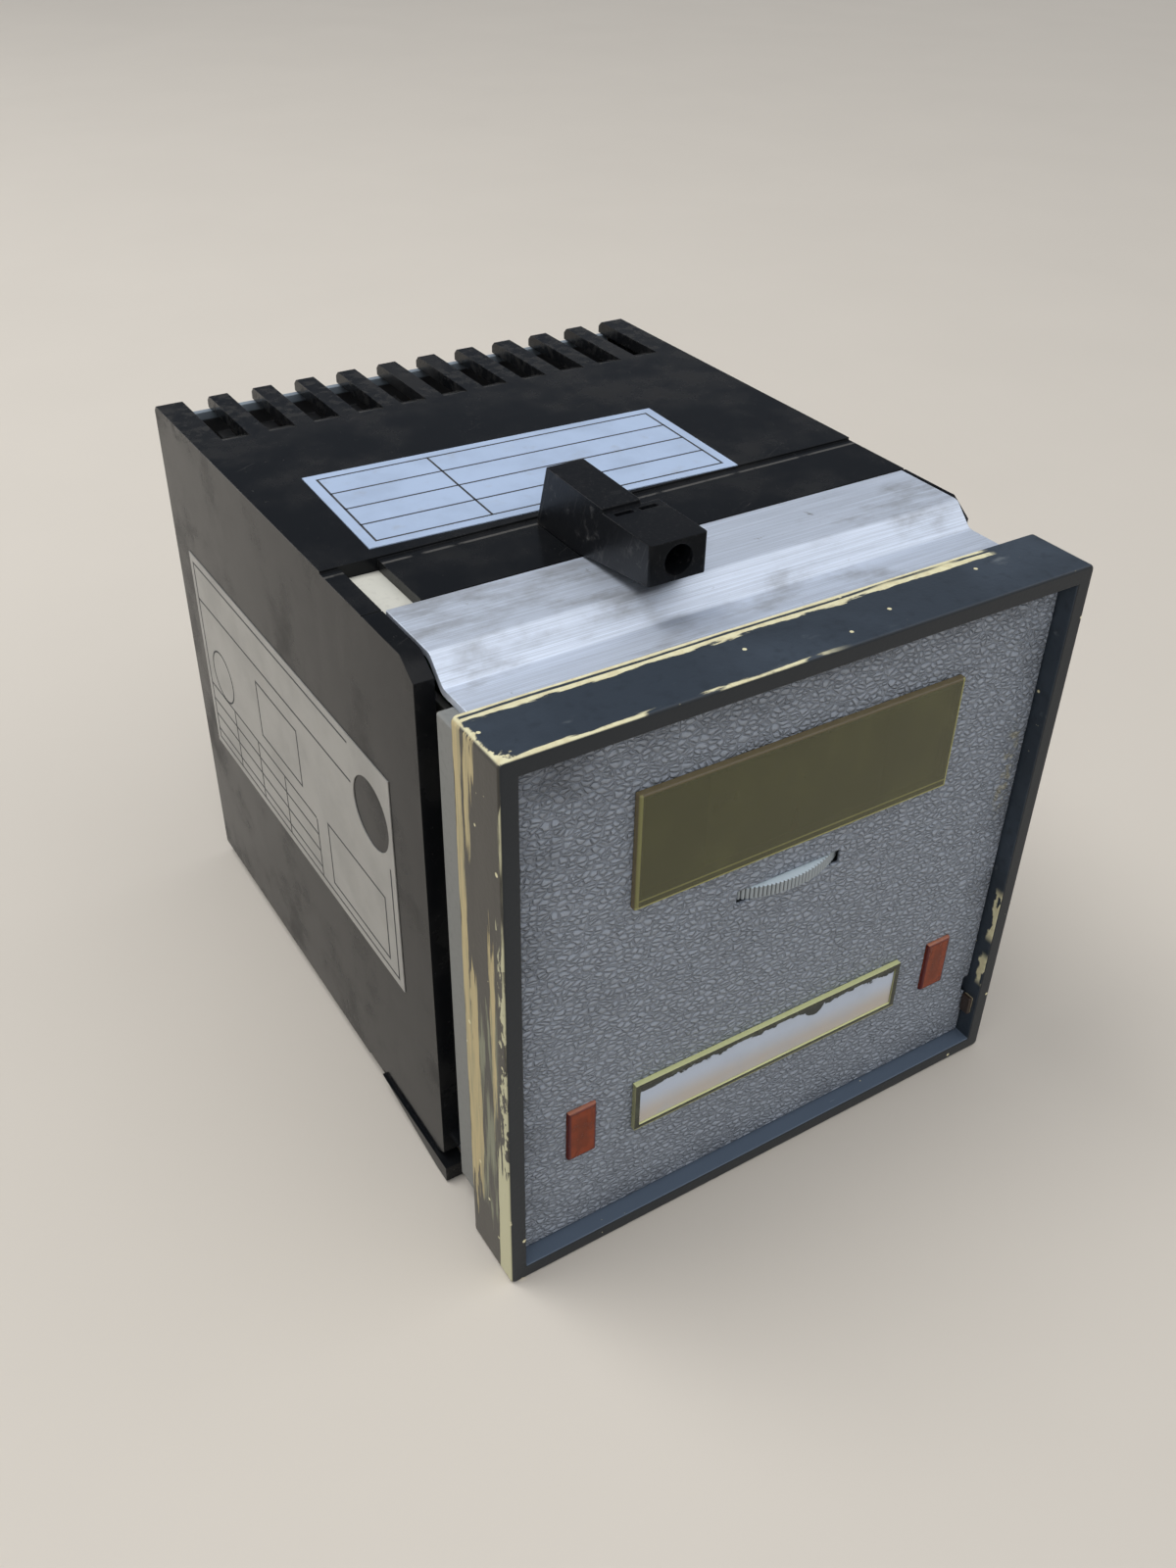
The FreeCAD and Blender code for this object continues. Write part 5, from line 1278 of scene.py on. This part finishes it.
def block_moulding(settings, top, base):
    """Black blocks whose outer edges carry a pale blue-grey skin."""
    finish = moulded("Block blue-grey", settings.block_dark, 0.45, drift=0.1)
    dark = finish.colour()
    skin = finish.z.ramp(top - 0.0016, top - 0.0012) | finish.z.ramp(base + 0.0016, base + 0.0012)
    pale = finish.mix(finish.noise(0.003, detail=5.0), settings.block, tone(settings.block, 0.6))
    finish.set("Base Color", finish.mix(skin, dark, pale))
    return finish.done()


# ---------------------------------------------------------------- chassis
class ChassisOperator(bpy.types.Operator):
    """Build the tray, boards, transformer and the parts that stand on the tray"""

    bl_idname = "controller.chassis"
    bl_label = "Chassis"

    def execute(self, context):
        settings = context.scene.controller_chassis
        zinc = sheet_metal("Tray zinc", settings.zinc, 0.42, "Y").done()
        board = board_resist(settings)
        black = moulded("Part black", (0.014, 0.014, 0.015), 0.42).done()
        nut = sheet_metal("Nut brass", BRASS, 0.3, "Z").done()
        spacer = sheet_metal("Spacer brass", BRASS, 0.3, "X").done()
        can = sheet_metal("Can aluminium", (0.6, 0.61, 0.62), 0.3, "Z").done()
        relay = moulded("Relay case", (0.30, 0.28, 0.25), 0.2)
        relay.set("Transmission Weight", 0.35)
        edge = settings.edge
        for slot, material, width, nodes in (
            ("zinc_plate", zinc, edge, ("chassis_tray", "pot_bracket")),
            ("board_green", board, BOARD_EDGE, ("front_board", "circuit_board_left", "circuit_board_right")),
            ("case_black", black, edge, ("chips_left", "chips_right", "potentiometer")),
            ("brass", nut, edge, ("pot_nut",)),
            ("brass", spacer, edge, ("board_spacers",)),
            ("core_iron", core_iron(settings), edge, ("transformer_core",)),
            ("coil_tape", coil_tape(settings), edge * 2, ("transformer_coil",)),
        ):
            for node in nodes:
                dressed(node, "chassis", slot, material, width)
        dressed("smoothing_capacitor", "chassis", "can_aluminium", can, CAN_EDGE, segments=3)
        dressed("output_relay", "chassis", "relay_case", relay.done(), RELAY_EDGE, segments=3)
        return {"FINISHED"}


def board_resist(settings):
    """Green resist over copper tracks, with tinned pads on a coarse grid."""
    finish = Finish("Board resist", settings.board, 0.35)
    tracks = finish.cells(0.0025, randomness=0.0)
    pads = tracks.ramp(0.24, 0.2)
    lines = finish.noise(0.003, detail=1.0, stretch=(1, 1, 6))
    copper = abs(lines - 0.5).ramp(0.03, 0.02)
    base = finish.mix(copper, settings.board, tone(settings.board, 1.8))
    finish.set("Base Color", finish.mix(pads * 0.6, base, (0.5, 0.5, 0.48)))
    finish.set("Roughness", pads.level(0.35, 0.25))
    finish.bump(copper, 0.00003)
    finish.bump(pads, 0.0001)
    return finish.done()


def core_iron(settings):
    """Stacked laminations seen on edge, varnished and a little rusty."""
    finish = Finish("Core iron", settings.iron, 0.45, metallic=0.3)
    plates = finish.waves("Y", 0.5, 0.4)
    rust = finish.noise(0.005, detail=6.0).ramp(0.56, 0.75)
    base = finish.mix(plates, tone(settings.iron, 0.6), tone(settings.iron, 1.4))
    finish.set("Base Color", finish.mix(rust, base, (0.16, 0.07, 0.03)))
    finish.set("Roughness", rust.level(0.4, 0.75))
    finish.bump(plates, 0.00006)
    return finish.done()


def coil_tape(settings):
    """Amber tape wound over the coil, with its turns showing as soft ridges."""
    finish = Finish("Coil tape", settings.tape, 0.3)
    turns = finish.waves("Z", 0.25, 1.2)
    cloud = finish.noise(0.004, detail=4.0)
    base = finish.mix(cloud, tone(settings.tape, 0.6), tone(settings.tape, 1.3))
    finish.set("Base Color", finish.mix(turns * 0.3, base, tone(settings.tape, 0.4)))
    finish.set("Roughness", cloud.level(0.2, 0.4))
    finish.bump(turns, 0.0001)
    return finish.done()


# ---------------------------------------------------------------- stage
class StageOperator(bpy.types.Operator):
    """Build the floor, the lamps and the camera"""

    bl_idname = "controller.stage"
    bl_label = "Stage"

    def execute(self, context):
        settings = context.scene.controller_stage
        self.lay_floor(settings)
        self.place_camera(context)
        self.hang_lamp("Key light", KEY_PLACE, KEY_TARGET, KEY_WIDTH, settings.key_power)
        self.hang_lamp("Back light", BACK_PLACE, BACK_TARGET, BACK_WIDTH, settings.back_power)
        context.scene.world = Sky("Studio", settings).world
        context.scene.view_settings.view_transform = "Standard"
        return {"FINISHED"}

    def lay_floor(self, settings):
        bm = bmesh.new()
        bmesh.ops.create_grid(bm, x_segments=1, y_segments=1, size=FLOOR_REACH)
        mesh = bpy.data.meshes.new("floor")
        bm.to_mesh(mesh)
        bm.free()
        floor = bpy.data.objects.new("floor", mesh)
        bpy.context.scene.collection.objects.link(floor)
        finish = Finish("Floor paper", settings.floor, 0.8)
        cloud = finish.noise(0.08, detail=4.0)
        finish.set("Base Color", finish.mix(cloud, tone(settings.floor, 0.97), tone(settings.floor, 1.03)))
        mesh.materials.append(finish.done())

    def place_camera(self, context):
        lens = bpy.data.cameras.new("Camera")
        lens.sensor_fit = "VERTICAL"
        lens.sensor_height = CAMERA_SENSOR
        lens.lens = CAMERA_LENS
        camera = bpy.data.objects.new("Camera", lens)
        camera.location = CAMERA_PLACE
        camera.rotation_euler = [math.radians(angle) for angle in CAMERA_TURN]
        context.scene.collection.objects.link(camera)
        context.scene.camera = camera

    def hang_lamp(self, name, place, target, width, power):
        light = bpy.data.lights.new(name, "AREA")
        light.shape = "DISK"
        light.size = width
        light.energy = power
        lamp = bpy.data.objects.new(name, light)
        lamp.location = place
        aim = Vector(target) - Vector(place)
        lamp.rotation_euler = aim.to_track_quat("-Z", "Y").to_euler()
        bpy.context.scene.collection.objects.link(lamp)


# ---------------------------------------------------------------- panel, registration and run
OPERATORS = (
    StageOperator,
    BezelOperator,
    BandOperator,
    SleeveOperator,
    PanelOperator,
    WindowOperator,
    WheelOperator,
    LensOperator,
    BadgeOperator,
    ClampOperator,
    LabelOperator,
    TerminalOperator,
    ChassisOperator,
)

SETTINGS = {
    "controller_stage": StageSettings,
    "controller_bezel": BezelSettings,
    "controller_band": BandSettings,
    "controller_sleeve": SleeveSettings,
    "controller_panel": PanelSettings,
    "controller_window": WindowSettings,
    "controller_wheel": WheelSettings,
    "controller_lens": LensSettings,
    "controller_badge": BadgeSettings,
    "controller_clamp": ClampSettings,
    "controller_label": LabelSettings,
    "controller_terminal": TerminalSettings,
    "controller_chassis": ChassisSettings,
}


class ControllerPanel(bpy.types.Panel):
    """Lists the settings and the operators in the 3D view's sidebar"""

    bl_idname = "VIEW3D_PT_controller"
    bl_label = "Temperature controller"
    bl_space_type = "VIEW_3D"
    bl_region_type = "UI"
    bl_category = "Controller"

    def draw(self, context):
        for operator, (name, group) in zip(OPERATORS, SETTINGS.items()):
            box = self.layout.box()
            box.operator(operator.bl_idname)
            for setting in group.__annotations__:
                box.prop(getattr(context.scene, name), setting)


def register():
    for name, group in SETTINGS.items():
        bpy.utils.register_class(group)
        setattr(bpy.types.Scene, name, PointerProperty(type=group))
    for operator in OPERATORS:
        bpy.utils.register_class(operator)
    bpy.utils.register_class(ControllerPanel)


def unregister():
    bpy.utils.unregister_class(ControllerPanel)
    for operator in reversed(OPERATORS):
        bpy.utils.unregister_class(operator)
    for name, group in reversed(SETTINGS.items()):
        delattr(bpy.types.Scene, name)
        bpy.utils.unregister_class(group)


def main():
    register()
    for operator in OPERATORS:
        family, name = operator.bl_idname.split(".")
        getattr(getattr(bpy.ops, family), name)()


if __name__ == "__main__":
    main()
